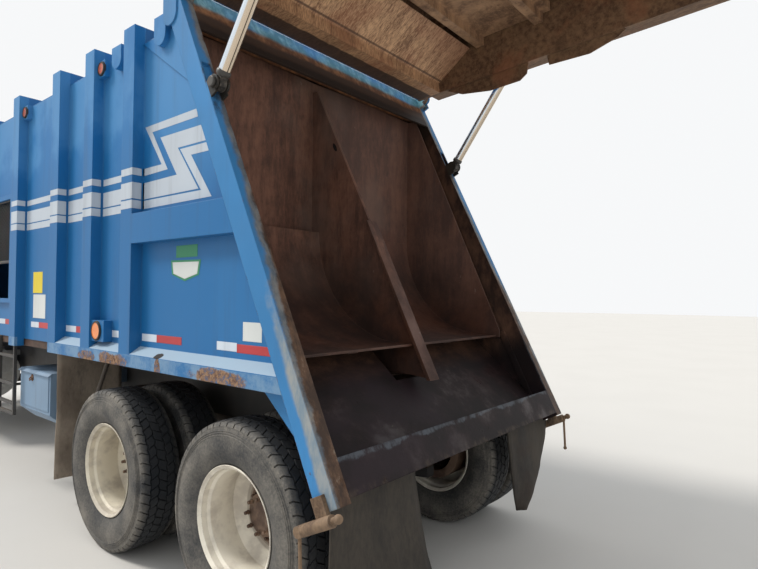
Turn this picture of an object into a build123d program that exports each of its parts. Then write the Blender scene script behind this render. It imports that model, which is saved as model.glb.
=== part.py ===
from build123d import *
import math
import os

os.makedirs("parts", exist_ok=True)

# A rear-loading garbage truck with its tailgate raised. Sizes are in millimetres.
# X points to the truck's left, Y to its rear and Z up. While it is drawn, Y is 0 at the rear drive
# axle. At the end everything moves along Y, so that the origin is under the middle of the whole box.

# Wheels and axles
axle_height = 500
tyre_radius = 527
tyre_width = 280
bead_radius = 290
rim_width = 230
rim_lip_radius = 300
rim_wall = 13
rear_tyre_x = 1075
dual_spacing = 335
front_tyre_x = 1030
tandem_spacing = 1372
front_axle_y = -6850
kingpin_x = 895
steer_limit = 35
fit_gap = 0.4
running_gap = 0.3

# Chassis frame
rail_outer_x = 430
rail_flange = 80
rail_height = 270
rail_top = 1040
rail_wall = 9
rail_front_y = -7750
rail_rear_y = 250

# Body
body_half = 1220
rib_depth = 72
sheet_wall = 8
rib_width = 140
body_front_y = -4600
body_floor_z = 1330
floor_plate = 12
rib_top_z = 3350
side_top_z = 3250
roof_crown = 45
sill_bottom_z = 1210
sill_edge_z = 1290
sill_top_z = 1335
side_bottom_z = 1270
trough_half = 180
trough_depth = 195

# Rear frame, whose rear face is the plane that the tailgate seals on
seal_lean = 26.46
seal_foot_y = 760
seal_foot_z = 800
post_depth = 135
post_bottom = 2940
header_top = 25
header_bottom = -284
header_box_bottom = -140
lip_top = -2745
lip_bottom = -2920

# Tailgate hinge and how far the tailgate stands open
hinge_y = -500
hinge_z = 3445
raised_angle = 67.7
gate_gap = 8
gate_half = body_half - 105
gate_wall = 30
gate_plate = 12

# Packer inside the tailgate
track_w = 520
pivot_down_s = -2240
packer_travel = 850
blade_length = 1050
hopper_radius = 1080
blade_home_angle = -100
blade_swing = 55

# Lift cylinders
lift_x = body_half - 40
lift_foot_y = -170
lift_foot_z = 2780
lift_lean = 35.6
lift_open_length = 2200
barrel_radius = 52
rod_radius = 33
barrel_length = 1180

# Ejector panel
ejector_half = body_half - 122
ejector_plate = 12
ejector_edge_y = -600
ejector_fold_y = -680
ejector_top_gap = 30
ejector_travel = 3250

# Cab and hood
cab_half = 1020
cab_rear_y = -4950
cab_front_y = -6340
cab_floor_z = 1150
cab_roof_z = 2800
cab_wall = 60
door_front_y = -6215
door_rear_y = -5230
door_bottom_z = 1190
door_top_z = 2680
door_gap = 6
door_swing = 65
hood_nose_y = -7800
hood_skin = 24
hood_swing = 65
hood_hinge_y = -7690
hood_hinge_z = 900
bumper_front_y = -7900


def block(x0, x1, y0, y1, z0, z1):
    """A box between two corners."""
    return Pos((x0 + x1) / 2, (y0 + y1) / 2, (z0 + z1) / 2) * Box(x1 - x0, y1 - y0, z1 - z0)


def side_prism(points, x0, x1):
    """A side view, given as (y, z) points, carried across the truck from x0 to x1."""
    face = Plane.YZ.offset(x0) * Polygon(*points, align=None)
    return extrude(face, amount=x1 - x0, dir=(1, 0, 0))


def front_prism(points, y0, y1):
    """A front view, given as (x, z) points, carried along the truck from y0 to y1."""
    plane = Plane(origin=(0, y0, 0), x_dir=(1, 0, 0), z_dir=(0, -1, 0))
    return extrude(plane * Polygon(*points, align=None), amount=y1 - y0, dir=(0, 1, 0))


def front_shape(edges, y0, y1):
    """A closed outline of lines and arcs in (x, z), carried along the truck from y0 to y1."""
    plane = Plane(origin=(0, y0, 0), x_dir=(1, 0, 0), z_dir=(0, -1, 0))
    return extrude(plane * make_face(edges), amount=y1 - y0, dir=(0, 1, 0))


def plan_prism(points, z0, z1):
    """A plan, given as (x, y) points, carried up from z0 to z1."""
    return extrude(Pos(0, 0, z0) * Polygon(*points, align=None), amount=z1 - z0, dir=(0, 0, 1))


def bar_x(y, z, x0, x1, radius):
    """A round bar across the truck."""
    return Pos((x0 + x1) / 2, y, z) * Rot(0, 90, 0) * Cylinder(radius, x1 - x0)


def bar_z(x, y, z0, z1, radius):
    """A round upright bar."""
    return Pos(x, y, (z0 + z1) / 2) * Cylinder(radius, z1 - z0)


def rod(start, end, radius):
    """A round bar between two points."""
    way = Vector(*end) - Vector(*start)
    return Solid.make_cylinder(radius, way.length, Plane(origin=start, z_dir=way))


def turned_x(profile):
    """A solid of revolution about X, from (x, radius) points."""
    return revolve(Polygon(*profile, align=None), Axis.X, 360)


def mirrored(solid):
    """The same piece on the truck's right side."""
    return mirror(solid, about=Plane.YZ)


def both_sides(solid):
    """A piece and its mirror image."""
    return solid + mirrored(solid)


def join(pieces):
    """All pieces fused."""
    whole = pieces[0]
    for piece in pieces[1:]:
        whole = whole + piece
    return whole


# The seal frame: X as the truck, Y out of the sealing plane towards the rear, Z up along it.
# Its origin is the foot of the tailgate hinge on the plane.
lean_sin = math.sin(math.radians(seal_lean))
lean_cos = math.cos(math.radians(seal_lean))
seal_slope = math.tan(math.radians(seal_lean))
hinge_w = (hinge_y - seal_foot_y) * lean_cos + (hinge_z - seal_foot_z) * lean_sin
seal_y = hinge_y - hinge_w * lean_cos
seal_z = hinge_z - hinge_w * lean_sin
seal_frame = Pos(0, seal_y, seal_z) * Rot(seal_lean, 0, 0)
raise_gate = Pos(0, hinge_y, hinge_z) * Rot(raised_angle, 0, 0) * Pos(0, -hinge_y, -hinge_z)
gate_frame = raise_gate * seal_frame


def to_seal(y, z):
    """Truck (y, z) of the closed tailgate in the seal frame, as (w, s)."""
    dy = y - seal_y
    dz = z - seal_z
    return dy * lean_cos + dz * lean_sin, -dy * lean_sin + dz * lean_cos


def seal_face_y(z):
    """Where the sealing plane is at a height."""
    return seal_foot_y - seal_slope * (z - seal_foot_z)


def gate_point(w, s):
    """Truck (y, z) of a seal frame point of the raised tailgate."""
    angle = math.radians(seal_lean + raised_angle)
    closed_y = seal_y + w * lean_cos - s * lean_sin - hinge_y
    closed_z = seal_z + w * lean_sin + s * lean_cos - hinge_z
    turn = math.radians(raised_angle)
    return (hinge_y + closed_y * math.cos(turn) - closed_z * math.sin(turn),
            hinge_z + closed_y * math.sin(turn) + closed_z * math.cos(turn))


nodes = {}


# Wheels
def tyre(centre_x):
    """A tyre as (x, radius) points: bead, widest sidewall, shoulder and crown."""
    half = tyre_width / 2
    right = [(half - 42, bead_radius), (half - 42, rim_lip_radius + 3), (half, bead_radius + 110),
             (half - 8, tyre_radius - 27), (half - 32, tyre_radius)]
    left = [(-x, r) for x, r in reversed(right)]
    return Pos(centre_x, 0, 0) * turned_x(right + left)


def rim_shell(centre_x):
    """The barrel of a rim with its two lips."""
    half = rim_width / 2
    seat = bead_radius - fit_gap
    inner = seat - rim_wall
    profile = [(-half, rim_lip_radius), (-half + 12, rim_lip_radius), (-half + 12, seat), (half - 12, seat),
               (half - 12, rim_lip_radius), (half, rim_lip_radius), (half, inner), (-half, inner)]
    return Pos(centre_x, 0, 0) * turned_x(profile)


spindle_radius = 50
hub_radius = 112
drum_radius = 208
disc_wall = 12
dual_face_x = rear_tyre_x - dual_spacing / 2
rim_bore = bead_radius - fit_gap - rim_wall


def rear_discs():
    """Two deep dishes bolted back to back at the middle of a pair of twin wheels."""
    outer = [(dual_face_x, hub_radius), (dual_face_x + disc_wall, hub_radius),
             (dual_face_x + disc_wall, 190), (dual_face_x + 70, rim_bore), (dual_face_x + 70, rim_bore + 2),
             (dual_face_x + 52, rim_bore + 2), (dual_face_x, 205)]
    inner = [(2 * dual_face_x - x, r) for x, r in outer]
    return turned_x(outer) + turned_x(inner)


def rear_hub():
    """Hub, brake drum and axle flange that turn with the twin wheels."""
    profile = [(640, drum_radius), (860, drum_radius), (895, 160), (895, hub_radius),
               (990, hub_radius), (1000, 100), (1012, 60), (1012, 0), (985, 0), (985, spindle_radius + running_gap),
               (850, spindle_radius + running_gap), (850, drum_radius - 18), (640, drum_radius - 18)]
    return turned_x(profile)


def front_disc():
    """A front wheel's disc, dished out to the hub."""
    face = front_tyre_x + 118
    profile = [(face, 85), (face - disc_wall, 85), (face - disc_wall, 185), (face - 70, rim_bore + 2),
               (face - 52, rim_bore + 2), (face, 205)]
    return turned_x(profile)


front_spindle_radius = 38


def front_hub():
    """Hub and brake drum of a front wheel."""
    face = front_tyre_x + 118
    profile = [(985, 200), (1105, 200), (1120, 150), (face - disc_wall, 150), (face - disc_wall, 85),
               (face + 35, 80), (face + 45, 60), (face + 45, 0), (face, 0), (face, front_spindle_radius + running_gap),
               (1030, front_spindle_radius + running_gap), (1030, 182), (985, 182)]
    return turned_x(profile)


rear_axles = {"front": -tandem_spacing, "rear": 0}
for axle_name, axle_y in rear_axles.items():
    seat = Pos(0, axle_y, axle_height)
    tyres = seat * (tyre(rear_tyre_x) + tyre(rear_tyre_x - dual_spacing))
    rims = seat * join([rim_shell(rear_tyre_x), rim_shell(rear_tyre_x - dual_spacing), rear_discs(), rear_hub()])
    nodes["twin_tyres_" + axle_name + "_left"] = tyres
    nodes["twin_rims_" + axle_name + "_left"] = rims
    nodes["twin_tyres_" + axle_name + "_right"] = mirrored(tyres)
    nodes["twin_rims_" + axle_name + "_right"] = mirrored(rims)

front_seat = Pos(0, front_axle_y, axle_height)
nodes["steer_tyre_left"] = front_seat * tyre(front_tyre_x)
nodes["steer_rim_left"] = front_seat * join([rim_shell(front_tyre_x), front_disc(), front_hub()])
nodes["steer_tyre_right"] = mirrored(nodes["steer_tyre_left"])
nodes["steer_rim_right"] = mirrored(nodes["steer_rim_left"])

# Front axle, knuckles and tie rod
kingpin_radius = 24
eye_half_height = 60
eye_radius = 45
spring_x = 400
spring_half = 40
pad_top = axle_height - 30
beam_half = 45
beam_points = [(-kingpin_x, 60), (-720, 50), (-560, -30), (560, -30), (720, 50), (kingpin_x, 60),
               (kingpin_x, -60), (720, -55), (520, -130), (-520, -130), (-720, -55), (-kingpin_x, -60)]
beam = front_prism([(x, axle_height + z) for x, z in beam_points], front_axle_y - beam_half, front_axle_y + beam_half)
pocket_points = [(-520, -48), (520, -48), (500, -112), (-500, -112)]
for side in (-1, 1):
    y_inner = front_axle_y + side * 15
    y_outer = front_axle_y + side * (beam_half + 1)
    pocket = front_prism([(x, axle_height + z) for x, z in pocket_points], min(y_inner, y_outer), max(y_inner, y_outer))
    beam = beam - pocket
kingpin = join([bar_z(kingpin_x, front_axle_y, axle_height - eye_half_height, axle_height + eye_half_height, eye_radius),
                bar_z(kingpin_x, front_axle_y, axle_height - 118, axle_height + 118, kingpin_radius)])
nodes["front_axle"] = beam + both_sides(kingpin)

arm_reach = 175
tie_x = kingpin_x
tie_z = axle_height - 125
yoke_clear = 6
yoke_thick = 50
yoke_bore = bar_z(kingpin_x, front_axle_y, axle_height - 200, axle_height + 200, kingpin_radius + running_gap)
yoke_low = axle_height - eye_half_height - yoke_clear
yoke_high = axle_height + eye_half_height + yoke_clear
knuckle = join([
    bar_z(kingpin_x, front_axle_y, yoke_high, yoke_high + yoke_thick, 42),
    bar_z(kingpin_x, front_axle_y, yoke_low - yoke_thick, yoke_low, 42),
    block(kingpin_x, kingpin_x + 82, front_axle_y - 40, front_axle_y + 40, yoke_high, yoke_high + yoke_thick),
    block(kingpin_x, kingpin_x + 82, front_axle_y - 40, front_axle_y + 40, yoke_low - yoke_thick, yoke_low),
    block(kingpin_x + 52, kingpin_x + 82, front_axle_y - 55, front_axle_y + 55, yoke_low - yoke_thick,
          yoke_high + yoke_thick),
    bar_x(front_axle_y, axle_height, kingpin_x + 80, 1140, front_spindle_radius),
    plan_prism([(kingpin_x - 30, front_axle_y + 20), (kingpin_x + 30, front_axle_y + 20),
                (tie_x + 25, front_axle_y + arm_reach), (tie_x - 25, front_axle_y + arm_reach)],
               yoke_low - yoke_thick, yoke_low - yoke_thick + 30),
    bar_z(tie_x, front_axle_y + arm_reach, yoke_low - yoke_thick, yoke_low - yoke_thick + 30, 28),
    bar_z(tie_x, front_axle_y + arm_reach, yoke_low - yoke_thick - 62, yoke_low - yoke_thick, 12),
]) - yoke_bore
nodes["knuckle_left"] = knuckle
nodes["knuckle_right"] = mirrored(knuckle)
tie_rod_z = yoke_low - yoke_thick - 34
tie_eyes = both_sides(bar_z(tie_x, front_axle_y + arm_reach, tie_rod_z - 24, tie_rod_z + 24, 28))
tie_bores = both_sides(bar_z(tie_x, front_axle_y + arm_reach, tie_rod_z - 60, tie_rod_z + 60, 12 + running_gap))
nodes["tie_rod"] = bar_x(front_axle_y + arm_reach, tie_rod_z, -tie_x, tie_x, 19) + tie_eyes - tie_bores

# Drive axles
tube_radius = 66
bowl_radius = 205
nose_z = axle_height + 60
beam_x = 490
beam_width = 80
walking_top = axle_height - 80
housings = []
for axle_name, axle_y in rear_axles.items():
    tube = bar_x(axle_y, axle_height, -(rear_tyre_x - dual_spacing - 110), rear_tyre_x - dual_spacing - 110, tube_radius)
    bowl = Pos(0, axle_y, axle_height) * turned_x([(-110, 0), (-110, 140), (-60, bowl_radius), (60, bowl_radius),
                                                   (110, 140), (110, 0)])
    cones = both_sides(Pos(0, axle_y, axle_height) * turned_x([(100, 0), (100, 140), (260, tube_radius), (260, 0)]))
    spindles = both_sides(bar_x(axle_y, axle_height, 600, 980, spindle_radius))
    nose = rod((0, axle_y - 100, axle_height + 20), (0, axle_y - 430, nose_z), 85)
    saddle = block(beam_x - beam_width / 2, beam_x + beam_width / 2, axle_y - 70, axle_y + 70, walking_top, axle_height)
    pieces = [tube, bowl, cones, spindles, nose, both_sides(saddle)]
    if axle_name == "front":
        pieces.append(rod((0, axle_y + 100, axle_height + 40), (0, axle_y + 330, nose_z), 60))
    housings.append(join(pieces))
nodes["drive_axles"] = housings[0] + housings[1]

# Suspension: front leaf springs and the tandem's walking beams
rail_bottom = rail_top - rail_height
leaf_count = 5
leaf_thick = 14


def leaf(index):
    """One leaf of a front spring, an arc that sags to the axle."""
    half = 660 - 105 * index
    sag = 130 * (half / 660) ** 2
    low = pad_top + leaf_thick * (leaf_count - index)
    base = [(-half, low + sag), (0, low), (half, low + sag)]
    top = [(y, z + leaf_thick) for y, z in base]
    edge = [ThreePointArc(*base), Line(base[2], top[2]), ThreePointArc(*reversed(top)), Line(top[0], base[0])]
    face = Plane.YZ.offset(spring_x - spring_half) * make_face(edge)
    return Pos(0, front_axle_y, 0) * extrude(face, amount=2 * spring_half, dir=(1, 0, 0))


eye_z = pad_top + leaf_thick * (leaf_count + 0.5) + 130
spring = join([leaf(index) for index in range(leaf_count)])
clamp = block(spring_x - spring_half - 8, spring_x + spring_half + 8, front_axle_y - 55, front_axle_y + 55,
              pad_top, pad_top + leaf_thick * (leaf_count + 1) + 40)
hangers = []
for end in (-1, 1):
    hang_y = front_axle_y + end * 660
    hangers.append(bar_x(hang_y, eye_z, spring_x - spring_half, spring_x + spring_half, 30))
    hangers.append(block(spring_x - spring_half, spring_x + spring_half, hang_y - 45, hang_y + 45, eye_z, rail_bottom))
front_spring = join([spring, clamp] + hangers)
saddle_y = -tandem_spacing / 2
walking = join([
    side_prism([(-tandem_spacing - 75, walking_top), (-tandem_spacing - 75, walking_top - 70),
                (saddle_y - 160, walking_top - 125), (saddle_y + 160, walking_top - 125),
                (75, walking_top - 70), (75, walking_top)], beam_x - beam_width / 2, beam_x + beam_width / 2),
    side_prism([(saddle_y - 90, walking_top), (saddle_y + 90, walking_top), (saddle_y + 260, rail_bottom),
                (saddle_y - 260, rail_bottom)], beam_x - beam_width / 2, beam_x + beam_width / 2),
    side_prism([(saddle_y - 260, rail_bottom - 40), (saddle_y + 260, rail_bottom - 40), (saddle_y + 260, rail_bottom),
                (saddle_y - 260, rail_bottom)], rail_outer_x - rail_flange, beam_x),
])
nodes["suspension"] = join([both_sides(front_spring), both_sides(walking)])

# Frame rails and cross members
rail_section = [(rail_outer_x, rail_bottom), (rail_outer_x, rail_top), (rail_outer_x - rail_flange, rail_top),
                (rail_outer_x - rail_flange, rail_top - rail_wall), (rail_outer_x - rail_wall, rail_top - rail_wall),
                (rail_outer_x - rail_wall, rail_bottom + rail_wall),
                (rail_outer_x - rail_flange, rail_bottom + rail_wall), (rail_outer_x - rail_flange, rail_bottom)]
rails = both_sides(front_prism(rail_section, rail_front_y, rail_rear_y))
web_x = rail_outer_x - rail_wall
cross_members = [-7650, -5000, -3900, -2700, -1900, saddle_y, 180]
crosses = []
for y in cross_members:
    crosses.append(block(-web_x, web_x, y - 45, y + 45, rail_top - 60, rail_top - 50))
    crosses.append(block(-web_x, web_x, y - 5, y + 5, rail_top - 190, rail_top - 50))
hood_pin_radius = 15
hood_pins = both_sides(bar_x(hood_hinge_y, hood_hinge_z, rail_outer_x - rail_wall, 505, hood_pin_radius))
crosses.append(block(-rail_outer_x, rail_outer_x, rail_rear_y, rail_rear_y + 12, rail_bottom, rail_top))
nodes["frame_rails"] = join([rails, hood_pins] + crosses)

# Bumper
bumper_bottom = 470
bumper_top = 760
bumper_half = 1200
bumper_wall = 10
bumper = front_prism([(-bumper_half, bumper_bottom), (bumper_half, bumper_bottom), (bumper_half, bumper_top),
                      (-bumper_half, bumper_top)], bumper_front_y, bumper_front_y + bumper_wall)
bumper_flanges = [block(-bumper_half, bumper_half, bumper_front_y, bumper_front_y + 90, z, z + bumper_wall)
                  for z in (bumper_bottom, bumper_top - bumper_wall)]
bumper_irons = both_sides(block(rail_outer_x - rail_flange, rail_outer_x, bumper_front_y, rail_front_y + 150,
                                bumper_bottom + 60, rail_top - rail_height))
nodes["front_bumper"] = join([bumper, bumper_irons] + bumper_flanges)

# Engine, gearbox, shafts and radiator
engine_half = 330
nodes["engine_block"] = block(-engine_half, engine_half, -7480, -6390, 640, 1660)
radiator_half = 450
nodes["radiator"] = block(-radiator_half, radiator_half, -7620, -7530, rail_top, 1640)
shaft_radius = 52
rear_pinion_y = -430
front_nose = (0, -tandem_spacing - 430, nose_z)
gear_end = (0, -5250, 800)
gearbox = block(-200, 200, -6390, -5400, 640, 1010)
tail = rod((0, -5400, 800), gear_end, 90)
main_shaft = rod(gear_end, front_nose, shaft_radius)
link_shaft = rod((0, -tandem_spacing + 330, nose_z), (0, rear_pinion_y, nose_z), shaft_radius)
nodes["driveline"] = join([gearbox, tail, main_shaft]) + link_shaft - nodes["drive_axles"]

# Body floor with its trough, cross bearers and long sills
floor_rear_y = 45
inner_half = body_half - rib_depth - sheet_wall
trough_wall = 8
floor_plates = both_sides(block(trough_half, inner_half, body_front_y, floor_rear_y, body_floor_z - floor_plate,
                                body_floor_z))
trough = block(-trough_half - trough_wall, trough_half + trough_wall, body_front_y, floor_rear_y,
               body_floor_z - trough_depth - trough_wall, body_floor_z)
trough = trough - block(-trough_half, trough_half, body_front_y - 1, floor_rear_y + 1, body_floor_z - trough_depth,
                        body_floor_z + 1)
trough_floor_z = body_floor_z - trough_depth
bearer_pitch = 610
bearer_count = 8
bearers = []
for index in range(bearer_count):
    y = -150 - bearer_pitch * index
    bearers.append(both_sides(block(trough_half, inner_half, y - 40, y + 40, sill_bottom_z, body_floor_z - floor_plate)))
bearers.append(both_sides(block(inner_half - 60, inner_half, body_front_y, -2300, sill_bottom_z, body_floor_z - floor_plate)))
sub_sill = both_sides(block(rail_outer_x - rail_flange, rail_outer_x, body_front_y, rail_rear_y - 40, rail_top,
                            sill_bottom_z))
sub_end = both_sides(block(rail_outer_x - rail_flange, rail_outer_x, body_front_y, floor_rear_y, sill_bottom_z,
                           body_floor_z - floor_plate))
cut_back = side_prism([(floor_rear_y, body_floor_z + 5), (rail_rear_y + 400, body_floor_z + 5),
                       (rail_rear_y + 400, 700), (557, 880), (floor_rear_y, body_floor_z - 26)], -500, 500)
nodes["body_floor"] = join([floor_plates, trough, sub_sill - cut_back, sub_end] + bearers)

# Body sides: sheet, ribs, bottom sill and the beam by the rear post
side_front_y = body_front_y
post_front_w = -post_depth


def post_front_y(z):
    """Where the front edge of the rear post is at a height."""
    return seal_face_y(z) - post_depth / lean_cos


rib_rows = [-1090, -1655, -2235, -3088, -4050]
access_y = (-3920, -3330)
access_z = (1610, 2500)
sheet_outline = [(side_front_y, side_bottom_z), (floor_rear_y, side_bottom_z), (floor_rear_y, body_floor_z),
                 (post_front_y(body_floor_z), body_floor_z), (post_front_y(side_top_z), side_top_z),
                 (side_front_y, side_top_z)]
sheet = side_prism(sheet_outline, inner_half, inner_half + sheet_wall)
sheet = sheet - block(inner_half - 1, body_half, access_y[0], access_y[1], access_z[0], access_z[1])
rib_inner = inner_half + sheet_wall
ribs = [block(rib_inner, body_half, y - rib_width / 2, y + rib_width / 2, sill_bottom_z, rib_top_z) for y in rib_rows]
ribs.append(block(rib_inner, body_half, side_front_y, side_front_y + rib_width, sill_bottom_z, rib_top_z))
sill_front_y = rib_rows[2] - rib_width / 2
sill_rear_y = post_front_y(sill_bottom_z)
sill = front_prism([(rib_inner, sill_bottom_z), (body_half, sill_bottom_z), (body_half, sill_edge_z),
                    (rib_inner, sill_top_z)], sill_front_y, sill_rear_y)
beam_low = 1975
beam_high = 2160
side_beam = block(rib_inner, body_half, rib_rows[0], post_front_y(beam_low), beam_low, beam_high)
behind_post = seal_frame * block(-2000, 2000, -post_depth, 900, -3400, 600)
access_frame = block(rib_inner, rib_inner + 30, access_y[0] - 40, access_y[1] + 40, access_z[0] - 40, access_z[1] + 40)
access_frame = access_frame - block(inner_half, body_half, access_y[0], access_y[1], access_z[0], access_z[1])
# Lamp boxes behind the ribs, as (the rib's y, length, low z, high z, how far inside the ribs' face, lens radius)
lamp_boxes = [(rib_rows[1], 185, 1340, 1482, 14, 54), (rib_rows[1], 88, 3152, 3268, 34, 36),
              (rib_rows[3], 88, 3142, 3258, 34, 36)]
boxes = []
lenses = []
for rib_y, length, low, high, set_back, lens_radius in lamp_boxes:
    box_front = rib_y + rib_width / 2
    outer_x = body_half - set_back
    boxes.append(block(rib_inner, outer_x, box_front, box_front + length, low, high))
    lens_y = box_front + min(length / 2, 84)
    lenses.append(bar_x(lens_y, (low + high) / 2, outer_x, outer_x + 10, lens_radius))
nodes["side_lamps"] = both_sides(join(lenses))
# Round-ended tabs below the roof's edge, as (front y, rear y, low z, high z)
tab_x = body_half - 24
tab_rows = [(-1378, -1248, 3150, 3300), (-830, -700, 3150, 3330)]
for y0, y1, low, high in tab_rows:
    half = (y1 - y0) / 2
    tab = block(rib_inner, tab_x, y0, y1, low + half, high) + bar_x((y0 + y1) / 2, low + half, rib_inner, tab_x, half)
    boxes.append(tab)
gusset = side_prism([(rib_rows[0] + rib_width / 2, 3240), (post_front_y(3240), 3240), (post_front_y(2810), 2810)],
                    rib_inner, rib_inner + 14)
boxes.append(gusset)
ribs = ribs + boxes
body_side = join([sheet, sill, side_beam, access_frame] + ribs) - behind_post
nodes["body_side_left"] = body_side
right_sheet = side_prism(sheet_outline, inner_half, inner_half + sheet_wall)
nodes["body_side_right"] = mirrored(join([right_sheet, sill, side_beam] + ribs) - behind_post)

# Body front wall and roof


def roof_arc(offset, half):
    """The crowned line of the roof, raised by an offset, as wide as twice the half width."""
    return ThreePointArc((-half, side_top_z + offset), (0, side_top_z + roof_crown + offset), (half, side_top_z + offset))


def above_roof(offset, y0, y1):
    """All that lies above the roof's line raised by an offset."""
    high = side_top_z + 500
    half = rib_inner
    edges = [roof_arc(offset, half), Line((half, side_top_z + offset), (half, high)), Line((half, high), (-half, high)),
             Line((-half, high), (-half, side_top_z + offset))]
    return front_shape(edges, y0, y1)


roof_wall = 8
front_wall = block(-inner_half, inner_half, body_front_y, body_front_y + sheet_wall, body_floor_z, rib_top_z)
front_wall = front_wall - above_roof(0, body_front_y - 10, body_front_y + 100)
wall_rib_x = [-900, -450, 0, 450, 900]
wall_ribs = [block(x - 40, x + 40, body_front_y - 50, body_front_y, body_floor_z, side_top_z) for x in wall_rib_x]
nodes["body_front_wall"] = join([front_wall] + wall_ribs)
roof_rear_y = post_front_y(side_top_z)
roof = above_roof(0, body_front_y, roof_rear_y) - above_roof(roof_wall, body_front_y - 10, roof_rear_y + 10)
bow_rows = rib_rows + [body_front_y + rib_width / 2]
bows = [block(-rib_inner, rib_inner, y - rib_width / 2, y + rib_width / 2, side_top_z - 60, rib_top_z) for y in bow_rows]
bows = [bow & above_roof(roof_wall / 2, y - rib_width, y + rib_width) for bow, y in zip(bows, bow_rows)]
nodes["body_roof"] = join([roof] + bows) - behind_post

# Rear frame: posts, header, lip, apron and cheeks
post = block(inner_half, body_half, -post_depth, 0, -post_bottom, header_top)
header_face = block(-inner_half, inner_half, -16, 0, header_bottom, header_top)
header_box = block(-inner_half, inner_half, -post_depth, -16, header_box_bottom, header_top)
lip = block(-inner_half, inner_half, -post_depth, 0, lip_bottom, lip_top)
hinge_pin_radius = 25
lug_radius = 48
ear_pairs = [(inner_half, lift_x - 20), (lift_x + 20, body_half)]
ears = []
for x0, x1 in ear_pairs:
    ears.append(bar_x(hinge_w, 0, x0, x1, lug_radius))
    ears.append(block(x0, x1, 0, hinge_w, -90, lug_radius - 25))
ears.append(bar_x(hinge_w, 0, inner_half, body_half, hinge_pin_radius))
foot_w, foot_s = to_seal(lift_foot_y, lift_foot_z)
foot_ears = []
eye_room = 28
for x0, x1 in [(inner_half, lift_x - eye_room), (lift_x + eye_room, body_half)]:
    foot_ears.append(bar_x(foot_w, foot_s, x0, x1, 42))
    foot_ears.append(block(x0, x1, 0, foot_w, foot_s - 60, foot_s + 42))
eye_pocket = block(lift_x - eye_room, lift_x + eye_room, -20, 1, foot_s - 15, foot_s + 190)
post = post - eye_pocket
rear_frame = seal_frame * join([both_sides(join([post] + ears + foot_ears)), header_face, header_box, lip])
post_tab = block(body_half, body_half + 8, -670, -530, 3280, 3400) + bar_x(-600, 3280, body_half, body_half + 8, 70)
apron_top = [(floor_rear_y, body_floor_z), (floor_rear_y, body_floor_z - floor_plate)]
lip_y = seal_y + lip_top * -lean_sin - post_depth * lean_cos
lip_z = seal_z + lip_top * lean_cos - post_depth * lean_sin
apron = side_prism([(floor_rear_y, body_floor_z), (floor_rear_y, body_floor_z - floor_plate),
                    (lip_y - 2, lip_z - floor_plate - 4), (lip_y + 6, lip_z - floor_plate), (lip_y, lip_z)],
                   -inner_half, inner_half)
apron_slot = block(-trough_half, trough_half, floor_rear_y - 1, 265, trough_floor_z, body_floor_z + 10)
cheek = side_prism([(floor_rear_y, body_floor_z), (floor_rear_y, body_floor_z - floor_plate), (lip_y, lip_z - 16),
                    (post_front_y(body_floor_z), body_floor_z)], inner_half, inner_half + sheet_wall)
nodes["rear_frame"] = join([rear_frame, apron - apron_slot, both_sides(cheek), both_sides(post_tab)])

# Turnbuckle clamps, swung forward under the feet of the posts
clamp_x = body_half + 34
clamp_s = -post_bottom - 35


def from_seal(w, s):
    """Truck (y, z) of a seal frame point."""
    return seal_y + w * lean_cos - s * lean_sin, seal_z + w * lean_sin + s * lean_cos


def clamp(handle_w, handle_drop):
    """A turnbuckle on its bracket, with its handle hanging from a place along it."""
    sleeve = Pos(clamp_x, -112, clamp_s) * Rot(90, 0, 0) * Cylinder(27, 190)
    thread = Pos(clamp_x, -107, clamp_s) * Rot(90, 0, 0) * Cylinder(15, 256)
    eye = bar_x(-235, clamp_s, clamp_x - 14, clamp_x + 14, 26)
    ball = Pos(clamp_x, 18, clamp_s) * Sphere(20)
    bracket = block(body_half, clamp_x - 12, -125, -55, clamp_s - 22, clamp_s + 110)
    y, z = from_seal(handle_w, clamp_s)
    handle = rod((clamp_x, y, z), (clamp_x, y + 12, z - handle_drop), 8) + Pos(clamp_x, y + 12, z - handle_drop) * Sphere(13)
    return seal_frame * join([sleeve, thread, eye, ball, bracket]) + handle


nodes["turnbuckles"] = clamp(-235, 235) + mirrored(clamp(-14, 225))

# Ejector panel
fin_top = (-638, 3193)
fin_foot = (428, 1144)
wing_top = (-515, 3219)
wing_foot = (315, 1402)
skid_gap = 0.5
panel = plan_prism([(0, ejector_fold_y), (ejector_half, ejector_edge_y), (ejector_half, ejector_edge_y - ejector_plate),
                    (0, ejector_fold_y - ejector_plate), (-ejector_half, ejector_edge_y - ejector_plate),
                    (-ejector_half, ejector_edge_y)], 2130, rib_top_z)
panel = panel - above_roof(-ejector_top_gap, -800, -500)
ramp_line = [ThreePointArc((ejector_edge_y, 2130), (-420, 1640), (280, 1362)),
             Line((280, 1362), (280, 1348)), Line((280, 1348), (-700, 1348)), Line((-700, 1348), (-700, 2130)),
             Line((-700, 2130), (ejector_edge_y, 2130))]
ramp = extrude(Plane.YZ.offset(-ejector_half) * make_face(ramp_line), amount=2 * ejector_half, dir=(1, 0, 0))
ramp_hollow = [ThreePointArc((ejector_edge_y - 14, 2118), (-430, 1632), (240, 1358)),
               Line((240, 1358), (240, 1340)), Line((240, 1340), (-688, 1340)), Line((-688, 1340), (-688, 2118)),
               Line((-688, 2118), (ejector_edge_y - 14, 2118))]
hollow = extrude(Plane.YZ.offset(-ejector_half + 12) * make_face(ramp_hollow), amount=2 * ejector_half - 24,
                 dir=(1, 0, 0))
wing = side_prism([(ejector_edge_y - 10, 3219), wing_top, wing_foot, (315, 1348), (ejector_edge_y - 10, 1348)],
                  ejector_half - 12, ejector_half)
fin = side_prism([(ejector_fold_y - 5, 3193), fin_top, fin_foot, (265, 1162), (-700, 1162)], -12, 12)
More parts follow.
